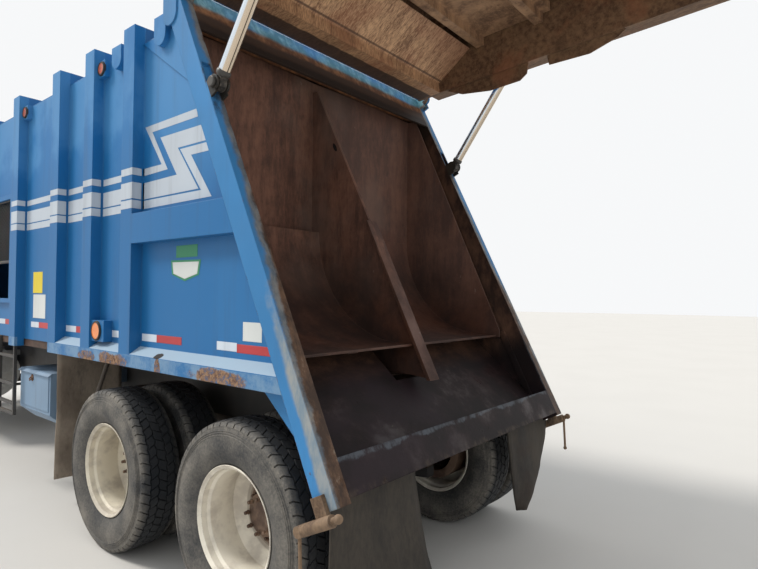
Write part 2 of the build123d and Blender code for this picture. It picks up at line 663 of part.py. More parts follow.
fin_cap = side_prism([(-110, 2178), (-98, 2178), fin_foot, (400, 1144)], -50, 50)
back_frame = both_sides(side_prism([(-690, 3000), (-720, 3000), (-1150, 1348), (-690, 1348)], 500, 520))
skids = both_sides(block(470, 550, -1150, 200, body_floor_z + skid_gap, 1352))
back_beam = block(-ejector_half, ejector_half, -1150, -1070, 1348, 1428)
nodes["ejector_panel"] = join([panel, ramp - hollow, both_sides(wing), fin, fin_cap, back_frame, skids, back_beam])

# Tailgate, drawn closed in the seal frame and then raised


def hopper_arc(radius, start, end):
    """An arc of the hopper about the blade's lowest pivot, from one angle to another."""
    middle = (start + end) / 2
    points = [(track_w + radius * math.cos(math.radians(a)), pivot_down_s + radius * math.sin(math.radians(a)))
              for a in (start, middle, end)]
    return points


def hopper_band(inner, outer, x0, x1):
    """A curved rib under the hopper between two radii."""
    inner_points = hopper_arc(inner, -112, -62)
    outer_points = hopper_arc(outer, -112, -62)
    edges = [ThreePointArc(*inner_points), Line(inner_points[2], outer_points[2]),
             ThreePointArc(*reversed(outer_points)), Line(outer_points[0], inner_points[0])]
    return extrude(Plane.YZ.offset(x0) * make_face(edges), amount=x1 - x0, dir=(1, 0, 0))


pivot_up_s = pivot_down_s + packer_travel
wall_in = gate_half - gate_wall
sill_z = 1080
sill_y = 1828
outline_truck = [(-525, 3415), (150, 3415), (900, 3020), (1480, 2330), (1720, 2090), (1985, 1700), (1985, 1120),
                 (1940, 1000)]
gate_outline = [(gate_gap, -4)] + [to_seal(y, z) for y, z in outline_truck]
arc_points = []
for step in range(7):
    angle = math.radians(-62 - step * 9.3)
    arc_points.append((track_w + (hopper_radius + 40) * math.cos(angle), pivot_down_s + (hopper_radius + 40) * math.sin(angle)))
gate_outline += arc_points + [(gate_gap, -3235)]
side_plate = side_prism(gate_outline, wall_in, gate_half)
guide_plate_1 = side_prism([(gate_gap + 2, header_bottom - 14), (-60, header_bottom - 160), (-108, -700), (-108, -960), (-70, -1020), (gate_gap + 2, -1040)],
                           gate_half - 10, gate_half)
guide_plate_2 = side_prism([(gate_gap + 2, -1190), (-62, -1200), (-80, -1500), (-30, -1700), (gate_gap + 2, -1760)],
                           gate_half - 10, gate_half)
flange_spans = [(-3190, -905), (-640, -140)]
flanges = [block(gate_half, body_half, gate_gap, gate_gap + 40, s0, s1) for s0, s1 in flange_spans]
lug_half = 14
lug = join([bar_x(hinge_w, 0, lift_x - lug_half, lift_x + lug_half, lug_radius),
            block(lift_x - lug_half, lift_x + lug_half, hinge_w, 210, -48, 40),
            block(gate_half, lift_x + lug_half, 115, 210, -160, 20)])
lug = lug - bar_x(hinge_w, 0, lift_x - 80, lift_x + 70, hinge_pin_radius + running_gap)
head_w, head_s = (lift_open_length * math.sin(math.radians(lift_lean)),
                  lift_open_length * math.cos(math.radians(lift_lean)))
lift_head_y = lift_foot_y + head_w
lift_head_z = lift_foot_z + head_s
turn_back = math.radians(-raised_angle)
closed_head_y = hinge_y + (lift_head_y - hinge_y) * math.cos(turn_back) - (lift_head_z - hinge_z) * math.sin(turn_back)
closed_head_z = hinge_z + (lift_head_y - hinge_y) * math.sin(turn_back) + (lift_head_z - hinge_z) * math.cos(turn_back)
pin_w, pin_s = to_seal(closed_head_y, closed_head_z)
lift_half = 21
lift_pin = bar_x(pin_w, pin_s, gate_half, lift_x + 50, 28) + bar_x(pin_w, pin_s, gate_half, lift_x - lift_half - 9, 60)
gate_side = join([side_plate, guide_plate_1, guide_plate_2, lug, lift_pin] + flanges)
track_front = 55
track_deep = 20
track_bars = []
for w0 in (track_w - track_front - 20, track_w + track_front):
    track_bars.append(block(wall_in - track_deep, wall_in, w0, w0 + 20, pivot_down_s - 60, -560))
# Stiffeners outside the side plate, as closed (front y, rear y, low z, high z), kept clear of the lift cylinder
stiffener_rows = [(1110, 1190, 610, 2240), (1700, 1780, 990, 1960)]
stiffeners = []
for y0, y1, low, high in stiffener_rows:
    corners = [to_seal(y, z) for y, z in [(y0, low), (y1, low), (y1, high), (y0, high)]]
    stiffeners.append(side_prism(corners, gate_half, gate_half + 55))
gate_side = join([gate_side] + track_bars + stiffeners)
gate_side = gate_side + hopper_band(hopper_radius, hopper_radius + 40, gate_half, gate_half + 45)
nodes["tailgate_side_left"] = gate_frame * gate_side
nodes["tailgate_side_right"] = mirrored(nodes["tailgate_side_left"])

# Tailgate beam, deflector, roof, rear cover and hopper
gate_beam = block(-wall_in, wall_in, gate_gap, 90, -240, -10)
deflector = side_prism([(90, -240), (90, -228), (300, -540), (292, -552)], -wall_in, wall_in)
cover_truck = [(-440, 3415), (150, 3415), (900, 3020), (1480, 2330), (1720, 2090)]
cover_inner = [(1708, 2085), (1470, 2322), (893, 3009), (147, 3403), (-440, 3403)]
cover = side_prism([to_seal(y, z) for y, z in cover_truck + cover_inner], -wall_in, wall_in)
slide_x = 850
slide_w = 470
slide_top = -330
slide_end = -1290
slide_barrel = Pos(slide_x, slide_w, (slide_top + slide_end) / 2) * Cylinder(50, slide_top - slide_end)
slide_barrel = slide_barrel - Pos(slide_x, slide_w, (slide_top - 35 + slide_end) / 2) * Cylinder(36, slide_top - 35 - slide_end)
gland = Pos(slide_x, slide_w, slide_end + 20) * Cylinder(50, 40)
slide_rod_radius = 27
gland = gland - Pos(slide_x, slide_w, slide_end + 20) * Cylinder(slide_rod_radius + running_gap, 60)
slide_hanger = side_prism([(440, slide_top - 25), (500, slide_top - 25), (500, -264), (440, -234)], slide_x - 30, slide_x + 30)
cover_rib_line = [(170, 3404), (900, 3020), (1480, 2330), (1700, 2110), (1738, 2142), (1517, 2365), (931, 3057),
                  (190, 3447)]
cover_ribs = [side_prism([to_seal(y, z) for y, z in cover_rib_line], x - 35, x + 35) for x in (-640, 0, 640)]
nodes["tailgate_cover"] = gate_frame * join([gate_beam, deflector, cover, both_sides(join([slide_barrel, gland, slide_hanger]))] + cover_ribs)


arc_start = -118.2
arc_end = -58.5
inner_arc = hopper_arc(hopper_radius, arc_start, arc_end)
outer_arc = hopper_arc(hopper_radius + gate_plate, arc_start, arc_end)
pan_edge = [ThreePointArc(*inner_arc), Line(inner_arc[2], outer_arc[2]), ThreePointArc(*reversed(outer_arc)),
            Line(outer_arc[0], inner_arc[0])]
pan = extrude(Plane.YZ.offset(-wall_in) * make_face(pan_edge), amount=2 * wall_in, dir=(1, 0, 0))
pan_front = block(-wall_in, wall_in, gate_gap, gate_gap + gate_plate, inner_arc[0][1] - 8, -2800)
rear_sill = side_prism([to_seal(y, z) for y, z in [(1815, 1060), (1815, 1090), (1960, 1090), (1960, 1000), (1800, 990)]],
                       -wall_in, wall_in)
pan_ribs = [hopper_band(hopper_radius + gate_plate - 2, hopper_radius + 40, x - 30, x + 30) for x in (-520, 0, 520)]
nodes["hopper_pan"] = gate_frame * join([pan, pan_front, rear_sill] + pan_ribs)
lamp_places = [(x, side) for x in (880, 1000) for side in (-1, 1)]
tail_lenses = [Pos(side * x, 1966, 1045) * Rot(90, 0, 0) * Cylinder(38, 12) for x, side in lamp_places]
nodes["tail_lamps"] = raise_gate * join(tail_lenses)

# Packer carriage and sweep blade
carriage_half = wall_in - 10
shoe_clear = 6
shoe_gap = 0.5
carriage_panel = block(-carriage_half, carriage_half, 330, 400, pivot_up_s + 140, -600)
front_beams = [block(-carriage_half, carriage_half, 262, 330, s0, s0 + 70) for s0 in (-690, pivot_up_s + 200)]
stanchions = [both_sides(block(wall_in - 90, wall_in - track_deep - shoe_clear, 400, track_w + track_front - shoe_gap,
                               pivot_up_s + 150, -700))]
shoes = [both_sides(block(wall_in - track_deep - shoe_clear, wall_in - shoe_gap, track_w - track_front + shoe_gap,
                          track_w + track_front - shoe_gap, pivot_up_s + 150, -700))]
pivot_lugs = []
lug_rows = [-730, -260, 260, 730]
for x in lug_rows:
    pivot_lugs.append(side_prism([(400, pivot_up_s + 300), (400, pivot_up_s + 150), (track_w - 40, pivot_up_s - 30),
                                  (track_w + 55, pivot_up_s), (track_w + 55, pivot_up_s + 80)], x - 20, x + 20))
    pivot_lugs.append(bar_x(track_w, pivot_up_s, x - 20, x + 20, 58))
pivot_radius = 32
tongue = block(slide_x - 30, slide_x + 30, 340, 400, pivot_up_s - 10, pivot_up_s + 140)
tongue = tongue + block(slide_x - 30, slide_x + 30, 340, slide_w + 30, pivot_up_s - 10, pivot_up_s + 60)
slide_rod = Pos(slide_x, slide_w, (slide_top - 45 + pivot_up_s + 50) / 2) * Cylinder(slide_rod_radius, slide_top - 95 - pivot_up_s)
sweep_x = 520
sweep_half = 22
sweep_pin_w = 470
sweep_pin_s = pivot_up_s + 730
sweep_cheeks = []
for x0 in (sweep_x - sweep_half - 16, sweep_x + sweep_half + 4):
    sweep_cheeks.append(side_prism([(400, sweep_pin_s - 60), (sweep_pin_w + 20, sweep_pin_s - 45), (sweep_pin_w + 45, sweep_pin_s),
                                    (sweep_pin_w + 20, sweep_pin_s + 40), (400, sweep_pin_s + 50)], x0, x0 + 12))
sweep_pin = bar_x(sweep_pin_w, sweep_pin_s, sweep_x - sweep_half - 16, sweep_x + sweep_half + 16, 22)
carriage = join([carriage_panel] + front_beams + stanchions + shoes + pivot_lugs)
carriage = carriage + bar_x(track_w, pivot_up_s, -carriage_half + 60, carriage_half - 60, pivot_radius)
carriage = carriage + both_sides(join([tongue, slide_rod, sweep_pin] + sweep_cheeks))
nodes["packer_carriage"] = gate_frame * carriage
blade_half = wall_in - track_deep - shoe_clear
blade_inner = [(58, -70), (80, 0), (60, 70)]
knuckles = []
for x0, x1 in [(-700, -290), (-230, 230), (290, 700)]:
    knuckles.append(bar_x(0, 0, x0, x1, 60))
    knuckles.append(block(x0, x1, 0, 120, -50, 50))
blade_line = [ThreePointArc((90, -60), (560, -95), (blade_length, 0)), Line((blade_length, 0), (blade_length - 30, 30)),
              ThreePointArc((blade_length - 30, 30), (560, -60), (90, 60)), Line((90, 60), (90, -60))]
blade_plate = extrude(Plane.YZ.offset(-blade_half) * make_face(blade_line), amount=2 * blade_half, dir=(1, 0, 0))
blade_ribs = [side_prism([(100, 0), (350, -50), (600, -76), (900, -26), (500, 130), (140, 130)], x - 12, x + 12)
              for x in (-800, -400, 0, 400, 800)]
blade = join([blade_plate] + knuckles + blade_ribs) - bar_x(0, 0, -blade_half - 5, blade_half + 5, pivot_radius + running_gap)
for x in lug_rows:
    blade = blade - bar_x(0, 0, x - 28, x + 28, 66) - block(x - 28, x + 28, -70, 88, -75, 75)
sweep_arm = 220
sweep_arm_angle = 75
eye_u = sweep_arm * math.cos(math.radians(sweep_arm_angle))
eye_v = sweep_arm * math.sin(math.radians(sweep_arm_angle))
for side in (-1, 1):
    for x0 in (side * sweep_x - sweep_half - 16, side * sweep_x + sweep_half + 4):
        blade = blade + side_prism([(-30, 45), (eye_u - 40, eye_v + 10), (eye_u, eye_v + 42), (eye_u + 40, eye_v + 10), (70, 45)],
                                   x0, x0 + 12)
nodes["sweep_blade"] = gate_frame * Pos(0, track_w, pivot_up_s) * Rot(blade_home_angle, 0, 0) * blade


def sweep_eye(turn):
    """The blade's cylinder eye as (w, s), with the blade turned from home and the carriage up."""
    angle = math.radians(blade_home_angle + sweep_arm_angle + turn)
    return track_w + sweep_arm * math.cos(angle), pivot_up_s + sweep_arm * math.sin(angle)


home_eye = sweep_eye(0)
swung_eye = sweep_eye(blade_swing)
sweep_long = math.hypot(home_eye[0] - sweep_pin_w, home_eye[1] - sweep_pin_s)
sweep_short = math.hypot(swung_eye[0] - sweep_pin_w, swung_eye[1] - sweep_pin_s)
sweep_way = math.degrees(math.atan2(home_eye[1] - sweep_pin_s, home_eye[0] - sweep_pin_w))
swung_way = math.degrees(math.atan2(swung_eye[1] - sweep_pin_s, swung_eye[0] - sweep_pin_w))
sweep_stroke = sweep_long - sweep_short
sweep_turn_ratio = (swung_way - sweep_way) / blade_swing
sweep_rod_ratio = sweep_stroke / 1000 / math.radians(blade_swing)
# Along this cylinder's own Z, from its pin on the carriage to its eye on the blade
sweep_frame = gate_frame * Pos(0, sweep_pin_w, sweep_pin_s) * Rot(sweep_way - 90, 0, 0)
sweep_tube = 530
sweep_rod_radius = 24
sweep_barrel = bar_z(sweep_x, 0, 66, sweep_tube, 44) - bar_z(sweep_x, 0, 90, sweep_tube - 35, 34)
sweep_barrel = sweep_barrel - bar_z(sweep_x, 0, sweep_tube - 36, sweep_tube + 1, sweep_rod_radius + running_gap)
sweep_barrel = sweep_barrel + bar_x(0, 0, sweep_x - sweep_half, sweep_x + sweep_half, 38)
sweep_barrel = sweep_barrel + block(sweep_x - sweep_half, sweep_x + sweep_half, -30, 30, 0, 70)
sweep_barrel = sweep_barrel - bar_x(0, 0, sweep_x - 60, sweep_x + 60, 22 + running_gap)
sweep_rod = bar_z(sweep_x, 0, sweep_tube - 130, sweep_long - 10, sweep_rod_radius)
sweep_rod = sweep_rod + bar_x(0, sweep_long, sweep_x - sweep_half, sweep_x + sweep_half, 34)
nodes["sweep_barrels"] = sweep_frame * both_sides(sweep_barrel)
nodes["sweep_rods"] = sweep_frame * both_sides(sweep_rod)

# Lift cylinders
lift_frame = Pos(0, lift_foot_y, lift_foot_z) * Rot(-lift_lean, 0, 0)
closed_length = math.hypot(closed_head_y - lift_foot_y, closed_head_z - lift_foot_z)
lift_stroke = lift_open_length - closed_length
lift_closed_way = math.degrees(math.atan2(closed_head_z - lift_foot_z, closed_head_y - lift_foot_y))
barrel_ratio = (90 - lift_lean - lift_closed_way - raised_angle) / raised_angle
rod_ratio = lift_stroke / 1000 / math.radians(raised_angle)
gland_s = lift_open_length - barrel_length
rod_top = gland_s + 110
rod_neck = 62
lift_rod = join([bar_x(0, 0, lift_x - lift_half, lift_x + lift_half, 40), bar_z(lift_x, 0, rod_neck, rod_top, rod_radius),
                 block(lift_x - lift_half, lift_x + lift_half, -26, 26, 10, rod_neck)])
barrel = bar_z(lift_x, 0, gland_s, lift_open_length - 78, barrel_radius)
barrel = barrel - bar_z(lift_x, 0, gland_s + 40, lift_open_length - 100, rod_radius + 8)
barrel = barrel - bar_z(lift_x, 0, gland_s - 1, gland_s + 41, rod_radius + running_gap)
barrel = barrel + bar_x(0, lift_open_length, lift_x - lift_half, lift_x + lift_half, 52)
barrel = barrel + block(lift_x - lift_half, lift_x + lift_half, -35, 35, lift_open_length - 110, lift_open_length)
barrel = barrel - bar_x(0, lift_open_length, lift_x - 60, lift_x + 60, 28 + running_gap)
nodes["lift_rod_left"] = lift_frame * lift_rod
nodes["lift_barrel_left"] = lift_frame * barrel
nodes["lift_rod_right"] = mirrored(nodes["lift_rod_left"])
nodes["lift_barrel_right"] = mirrored(nodes["lift_barrel_left"])

# Cab shell
cab_outline = [(cab_rear_y, cab_floor_z), (cab_rear_y, cab_roof_z - 60), (cab_rear_y - 60, cab_roof_z),
               (-5900, cab_roof_z), (-6030, 2740), (cab_front_y, 1950), (cab_front_y, cab_floor_z)]
cab_inner = [(cab_rear_y - 50, cab_floor_z + 50), (cab_rear_y - 50, cab_roof_z - 90), (cab_rear_y - 90, cab_roof_z - 50),
             (-5890, cab_roof_z - 50), (-5985, 2705), (cab_front_y + 55, 1940), (cab_front_y + 55, cab_floor_z + 50)]
cab = side_prism(cab_outline, -cab_half, cab_half)
cab = fillet(cab.edges().filter_by(Axis.Y).group_by(Axis.Z)[-1], 70)
cab = cab - side_prism(cab_inner, -cab_half + cab_wall, cab_half - cab_wall)
windscreen_way = Vector(0, -6030 - cab_front_y, 2740 - 1950).normalized()
glass_points = [(-860, 1990), (860, 1990), (800, 2690), (-800, 2690)]
cab = cab - front_prism(glass_points, cab_front_y - 50, -5900)
rear_glass = front_prism([(-600, 2000), (600, 2000), (600, 2500), (-600, 2500)], cab_rear_y - 120, cab_rear_y + 20)
cab = cab - rear_glass
door_outline = [(door_rear_y, door_bottom_z), (door_rear_y, door_top_z), (-5990, door_top_z), (door_front_y, 2150),
                (door_front_y, door_bottom_z)]
door_hole = [(door_rear_y + door_gap, door_bottom_z - door_gap), (door_rear_y + door_gap, door_top_z + door_gap),
             (-5990 - door_gap, door_top_z + door_gap), (door_front_y - door_gap, 2150), (door_front_y - door_gap, door_bottom_z - door_gap)]
cab = cab - side_prism(door_hole, cab_half - cab_wall - 1, cab_half + 1)
cab = cab - side_prism(door_hole, -cab_half - 1, -cab_half + cab_wall + 1)
cab_mounts = both_sides(block(rail_outer_x - rail_flange, rail_outer_x, cab_rear_y - 140, cab_rear_y - 20, rail_top,
                              cab_floor_z)) + both_sides(block(rail_outer_x - rail_flange, rail_outer_x, -6300, -6180,
                                                               rail_top, cab_floor_z))
nodes["cab_shell"] = cab + cab_mounts

# Doors
window_hole = [(door_rear_y - 90, 1950), (door_rear_y - 90, door_top_z - 70), (-5955, door_top_z - 70),
               (door_front_y + 70, 2130), (door_front_y + 70, 1950)]
door = side_prism(door_outline, cab_half - cab_wall, cab_half)
door = door - side_prism(window_hole, cab_half - cab_wall - 1, cab_half + 1)
hinge_x = cab_half + 12
for z0 in (1400, 1800):
    door = door + block(cab_half, hinge_x, door_front_y, door_front_y + 60, z0, z0 + 90)
    door = door + bar_z(hinge_x, door_front_y, z0, z0 + 90, 11)
mirror_arm = join([rod((cab_half - 20, -6180, 2020), (cab_half + 170, -6180, 2020), 12),
                   rod((cab_half - 20, -6065, 2420), (cab_half + 170, -6180, 2420), 12),
                   bar_z(cab_half + 170, -6180, 1950, 2480, 14)])
mirror_head = block(cab_half + 100, cab_half + 290, -6215, -6130, 2010, 2430)
door = door + mirror_arm + mirror_head
nodes["door_left"] = door
nodes["door_right"] = mirrored(door)

# Seats and dashboard
seat_rows = [-480, 480]
seats = []
for x in seat_rows:
    base = block(x - 180, x + 180, cab_rear_y - 750, cab_rear_y - 350, cab_floor_z + 50, 1480)
    cushion = block(x - 250, x + 250, cab_rear_y - 810, cab_rear_y - 320, 1480, 1610)
    back = side_prism([(cab_rear_y - 340, 1600), (cab_rear_y - 220, 1600), (cab_rear_y - 110, 2280), (cab_rear_y - 200, 2280)],
                      x - 250, x + 250)
    seats.append(join([base, cushion, back]))
nodes["seats"] = seats[0] + seats[1]
dash = side_prism([(cab_front_y + 55, 1500), (cab_front_y + 55, 1935), (-6150, 1900), (-6020, 1780), (-6060, 1500)],
                  -cab_half + cab_wall, cab_half - cab_wall)
column = rod((480, -6100, 1730), (480, -5895, 1855), 30)
wheel_plane = Plane(origin=(480, -5890, 1858), z_dir=(0, 230, 140))
wheel_ring = wheel_plane * Torus(225, 16)
wheel_spokes = wheel_plane * (Box(430, 40, 12) + Cylinder(45, 30))
nodes["dashboard"] = join([dash, column, wheel_ring, wheel_spokes])

# Hood with fenders and grille opening
nose = [(560, 930), (560, 1560), (500, 1650), (-500, 1650), (-560, 1560), (-560, 930)]
cowl = [(840, 1000), (840, 1820), (740, 1930), (-740, 1930), (-840, 1820), (-840, 1000)]


def hood_section(points, y, inset):
    """A cross section of the hood at y, drawn in by an inset and open below."""
    drawn = []
    for x, z in points:
        low = z < 1100
        drawn.append((x - math.copysign(inset, x), z - (200 if low and inset else 0) - (0 if low else inset)))
    plane = Plane(origin=(0, y, 0), x_dir=(1, 0, 0), z_dir=(0, -1, 0))
    return plane * Polygon(*drawn, align=None)


hood_rear_y = cab_front_y - 10
hood_outer = loft([hood_section(nose, hood_nose_y, 0), hood_section(cowl, hood_rear_y, 0)])
hood_round = 55
hood_ridges = [edge for edge in hood_outer.edges() if edge.bounding_box().size.Y > 1000 and edge.center().Z > 1500]
hood_outer = fillet(hood_ridges, hood_round)
hood_hollow = loft([hood_section(nose, hood_nose_y + hood_skin, hood_skin), hood_section(cowl, hood_rear_y + 5, hood_skin)])
grille_hole = front_prism([(-440, 1010), (440, 1010), (440, 1540), (-440, 1540)], hood_nose_y - 10, hood_nose_y + 60)
hood_shell = hood_outer - hood_hollow - grille_hole
grille_bars = [block(-470, 470, hood_nose_y + 4, hood_nose_y + 20, 1040 + 62 * index, 1060 + 62 * index)
               for index in range(8)]
arch_radius = 650
fender_front_y = -7600


def fender_face(inset, foot_front, foot_rear):
    """A fender's side view with a rounded front, drawn in by an inset, down to its two feet."""
    front = fender_front_y + inset
    back = hood_rear_y - inset
    nose = [(front, 950), (front + 75 - inset * 0.3, 1130 - inset * 0.7), (front + 260, 1205 - inset)]
    line = [Line((front, foot_front), nose[0]), ThreePointArc(*nose), Line(nose[2], (-6430, 1230 - inset)),
            Line((-6430, 1230 - inset), (back, 1180 - inset)), Line((back, 1180 - inset), (back, foot_rear)),
            Line((back, foot_rear), (front, foot_front))]
    return make_face(line)


fender_out_x = 1205
arch = bar_x(front_axle_y, axle_height, 300, 1300, arch_radius)
fender_out = extrude(Plane.YZ.offset(620) * fender_face(0, 820, 1000), amount=fender_out_x - 620, dir=(1, 0, 0))
fender_in = extrude(Plane.YZ.offset(560) * fender_face(hood_skin, 700, 700), amount=fender_out_x - hood_skin - 560, dir=(1, 0, 0))
fender = fender_out - fender_in - arch
inner_cut = hood_hollow
fender = fender - hood_hollow
hood = join([hood_shell, both_sides(fender)] + grille_bars)
hinge_arm = side_prism([(hood_hinge_y, hood_hinge_z - 32), (hood_hinge_y + 32, hood_hinge_z), (hood_hinge_y + 20, 1040),
                        (hood_nose_y + 10, 1040), (hood_nose_y + 10, 935), (hood_hinge_y - 30, hood_hinge_z - 25)], 460, 500)
hinge_arm = hinge_arm + bar_x(hood_hinge_y, hood_hinge_z, 460, 500, 34)
hinge_arm = hinge_arm - bar_x(hood_hinge_y, hood_hinge_z, 450, 510, hood_pin_radius + running_gap)
nodes["hood"] = hood + both_sides(hinge_arm)
lamp_front = fender_front_y
head_lenses = [Pos(side * x, lamp_front - 8, 915) * Rot(90, 0, 0) * Cylinder(78, 16) for x in (780, 960) for side in (-1, 1)]
nodes["head_lamps"] = join(head_lenses)

# Tanks, boxes, ladder and exhaust
tank_y = (-6180, -5150)
tank_radius = 290
tank_z = 730
tank_x = 780
fuel_tank = Pos(tank_x, (tank_y[0] + tank_y[1]) / 2, tank_z) * Rot(90, 0, 0) * Cylinder(tank_radius, tank_y[1] - tank_y[0])
tank_straps = [block(rail_outer_x, tank_x, y - 30, y + 30, 900, 960) for y in (-5950, -5380)]
tread = block(cab_half - 60, cab_half + 120, -6160, -5300, tank_z + 60, tank_z + 90)
nodes["fuel_tank"] = join([fuel_tank, tread] + tank_straps)
hydraulic = block(-1050, -500, -4500, -3800, 600, 1000)
hydraulic_arms = [block(-500, -rail_outer_x, y - 40, y + 40, 820, 980) for y in (-4400, -3900)]
battery = block(-1060, -520, -6150, -5250, 560, 960)
battery_arms = [block(-520, -rail_outer_x, y - 40, y + 40, 820, 940) for y in (-6050, -5350)]
nodes["hydraulic_tank"] = join([hydraulic] + hydraulic_arms)
nodes["battery_box"] = join([battery] + battery_arms)
box_x = inner_half - 40
box_outline = [(640, 1005), (box_x, 1005), (box_x, 665), (box_x - 120, 560), (640, 560)]
tool_box = front_prism(box_outline, -3220, -2555)
box_arms = [block(rail_outer_x, 640, y - 40, y + 40, 860, 980) for y in (-3080, -2680)]
nodes["tool_box"] = join([tool_box] + box_arms)
ladder_y = (-3585, -3205)
ladder_x = (inner_half, inner_half + 25)
stiles = [block(ladder_x[0], ladder_x[1], y - 12, y + 12, 590, side_bottom_z - 6) for y in ladder_y]
rungs = [block(ladder_x[0], ladder_x[1], ladder_y[0], ladder_y[1], z - 12, z + 12) for z in (602, 690, 860, 1100)]
nodes["side_ladder"] = join(stiles + rungs)
stack_x = -860
stack_y = cab_rear_y + 170
stack = join([bar_z(stack_x, stack_y, 1350, 2550, 125), bar_z(stack_x, stack_y, rail_top, 3250, 60),
              block(stack_x, -rail_outer_x + rail_flange, stack_y - 40, stack_y + 40, rail_top, rail_top + 50)])
nodes["exhaust_stack"] = stack

# Mudflaps
flap_x = (560, 1075)
front_flap = block(flap_x[0], flap_x[1], -2550, -2538, 225, body_floor_z - floor_plate - 6)
rear_flap = side_prism([(613.5, 790), (634.5, 748), (640, 260), (628, 260), (622, 745), (602, 786)], 440, 1080)
nodes["mudflaps"] = both_sides(front_flap) + both_sides(rear_flap)


# The whole box gives the origin
boxes = [shape.bounding_box() for shape in nodes.values()]
whole_front = min(box.min.Y for box in boxes)
whole_rear = max(box.max.Y for box in boxes)
middle_y = (whole_front + whole_rear) / 2
for name, shape in nodes.items():
    placed = Pos(0, -middle_y, 0) * shape
    if isinstance(placed, list):
        placed = Compound(placed)
    export_step(placed, "parts/" + name + ".step")
nodes = {name: Pos(0, -middle_y, 0) * shape for name, shape in nodes.items()}
print("nodes", len(nodes), "middle", middle_y, "length", whole_rear - whole_front)
print("lift stroke", lift_stroke, "closed length", closed_length, "head pin", lift_head_y, lift_head_z)
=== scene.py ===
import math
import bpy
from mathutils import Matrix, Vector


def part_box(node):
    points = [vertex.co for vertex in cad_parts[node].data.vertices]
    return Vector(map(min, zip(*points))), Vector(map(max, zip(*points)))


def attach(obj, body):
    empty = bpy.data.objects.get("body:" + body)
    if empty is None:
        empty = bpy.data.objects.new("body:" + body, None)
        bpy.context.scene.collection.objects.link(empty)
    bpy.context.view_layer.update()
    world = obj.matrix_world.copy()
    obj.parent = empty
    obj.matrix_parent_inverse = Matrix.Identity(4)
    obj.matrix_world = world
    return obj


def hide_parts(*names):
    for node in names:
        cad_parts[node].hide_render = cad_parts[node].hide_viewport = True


bl_info = {
    "name": "Garbage truck dressing",
    "version": (1, 0, 0),
    "blender": (4, 5, 0),
    "location": "3D View > Sidebar > Truck",
    "description": "Paints and fits out the packed model of a rear loading garbage truck",
    "category": "Add Mesh",
}

import bmesh
import bpy
import numpy as np
from bpy.props import FloatProperty, FloatVectorProperty, IntProperty, PointerProperty
from mathutils import Matrix, Vector

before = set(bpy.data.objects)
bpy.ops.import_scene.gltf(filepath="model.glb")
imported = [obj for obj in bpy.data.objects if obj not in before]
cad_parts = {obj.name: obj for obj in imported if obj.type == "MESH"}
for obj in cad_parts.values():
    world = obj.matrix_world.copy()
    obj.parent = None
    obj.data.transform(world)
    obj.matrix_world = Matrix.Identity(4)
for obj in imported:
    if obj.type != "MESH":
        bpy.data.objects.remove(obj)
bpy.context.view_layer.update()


def middle(node):
    """The centre of a CAD node's box at rest."""
    low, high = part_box(node)
    return (low + high) / 2


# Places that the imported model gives. The rear drive axle is the row that everything else is set from.
axle_rear = middle("twin_tyres_rear_left").y
axle_front = middle("twin_tyres_front_left").y
axle_steer = middle("steer_tyre_left").y
wheel_z = middle("twin_tyres_rear_left").z
floor_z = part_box("twin_tyres_rear_left")[0].z
# The body's side: its sheet, the outer faces of its ribs, their middles from the rear axle, and half a rib
sheet_x = 1.148
rib_x = 1.22
rib_rows = [-1.09, -1.655, -2.235, -3.088, -4.05]
rib_half = 0.07
# The middles of the tyres, from the middle of the truck
twin_places = (1.075, 0.74)
steer_place = 1.03
sides = (("left", 1), ("right", -1))
# The slanted plane that the tailgate seals on, and the tailgate's hinge with its turn from closed to raised
seal_y = axle_rear - 0.5452
seal_z = 3.4225
seal_cos = 0.8952
seal_sin = 0.4456
hinge_y = axle_rear - 0.5
hinge_z = 3.445
raised = math.radians(67.7)
# The rod eye of a raised lift cylinder, and the cylinder's lean from upright
lift_foot = (axle_rear - 0.17, 2.78)
lift_lean = math.radians(35.6)


# Settings that a user would change
class TruckPaint(bpy.types.PropertyGroup):
    """Colours of the painted panels."""

    body: FloatVectorProperty(name="Body blue", description="Paint of the refuse body", subtype="COLOR",
                              default=(0.012, 0.135, 0.345), min=0, max=1)
    cab: FloatVectorProperty(name="Cab blue", description="Paint of the cab and hood", subtype="COLOR",
                             default=(0.03, 0.14, 0.38), min=0, max=1)
    stripe: FloatVectorProperty(name="Stripe white", description="Paint of the side stripes", subtype="COLOR",
                                default=(0.47, 0.52, 0.58), min=0, max=1)
    rust: FloatVectorProperty(name="Rust", description="Fresh rust", subtype="COLOR",
                              default=(0.19, 0.07, 0.03), min=0, max=1)
    old_rust: FloatVectorProperty(name="Old rust", description="Dark greasy rust", subtype="COLOR",
                                  default=(0.05, 0.026, 0.017), min=0, max=1)
    dust: FloatVectorProperty(name="Dust", description="Dry road dust", subtype="COLOR",
                              default=(0.3, 0.25, 0.19), min=0, max=1)


class TruckWheels(bpy.types.PropertyGroup):
    """Sizes of the tyres and rims."""

    outer: FloatProperty(name="Tyre radius", description="Radius at the crown", subtype="DISTANCE",
                         unit="LENGTH", default=0.527)
    bead: FloatProperty(name="Bead radius", description="Radius where the tyre sits on the rim",
                        subtype="DISTANCE", unit="LENGTH", default=0.29)
    width: FloatProperty(name="Tyre width", description="Width across the sidewalls", subtype="DISTANCE",
                         unit="LENGTH", default=0.28)
    depth: FloatProperty(name="Groove depth", description="Depth of the tread grooves", subtype="DISTANCE",
                         unit="LENGTH", default=0.013)
    pitches: IntProperty(name="Pitches", description="Tread blocks round a drive tyre", default=54,
                         min=20, max=90)


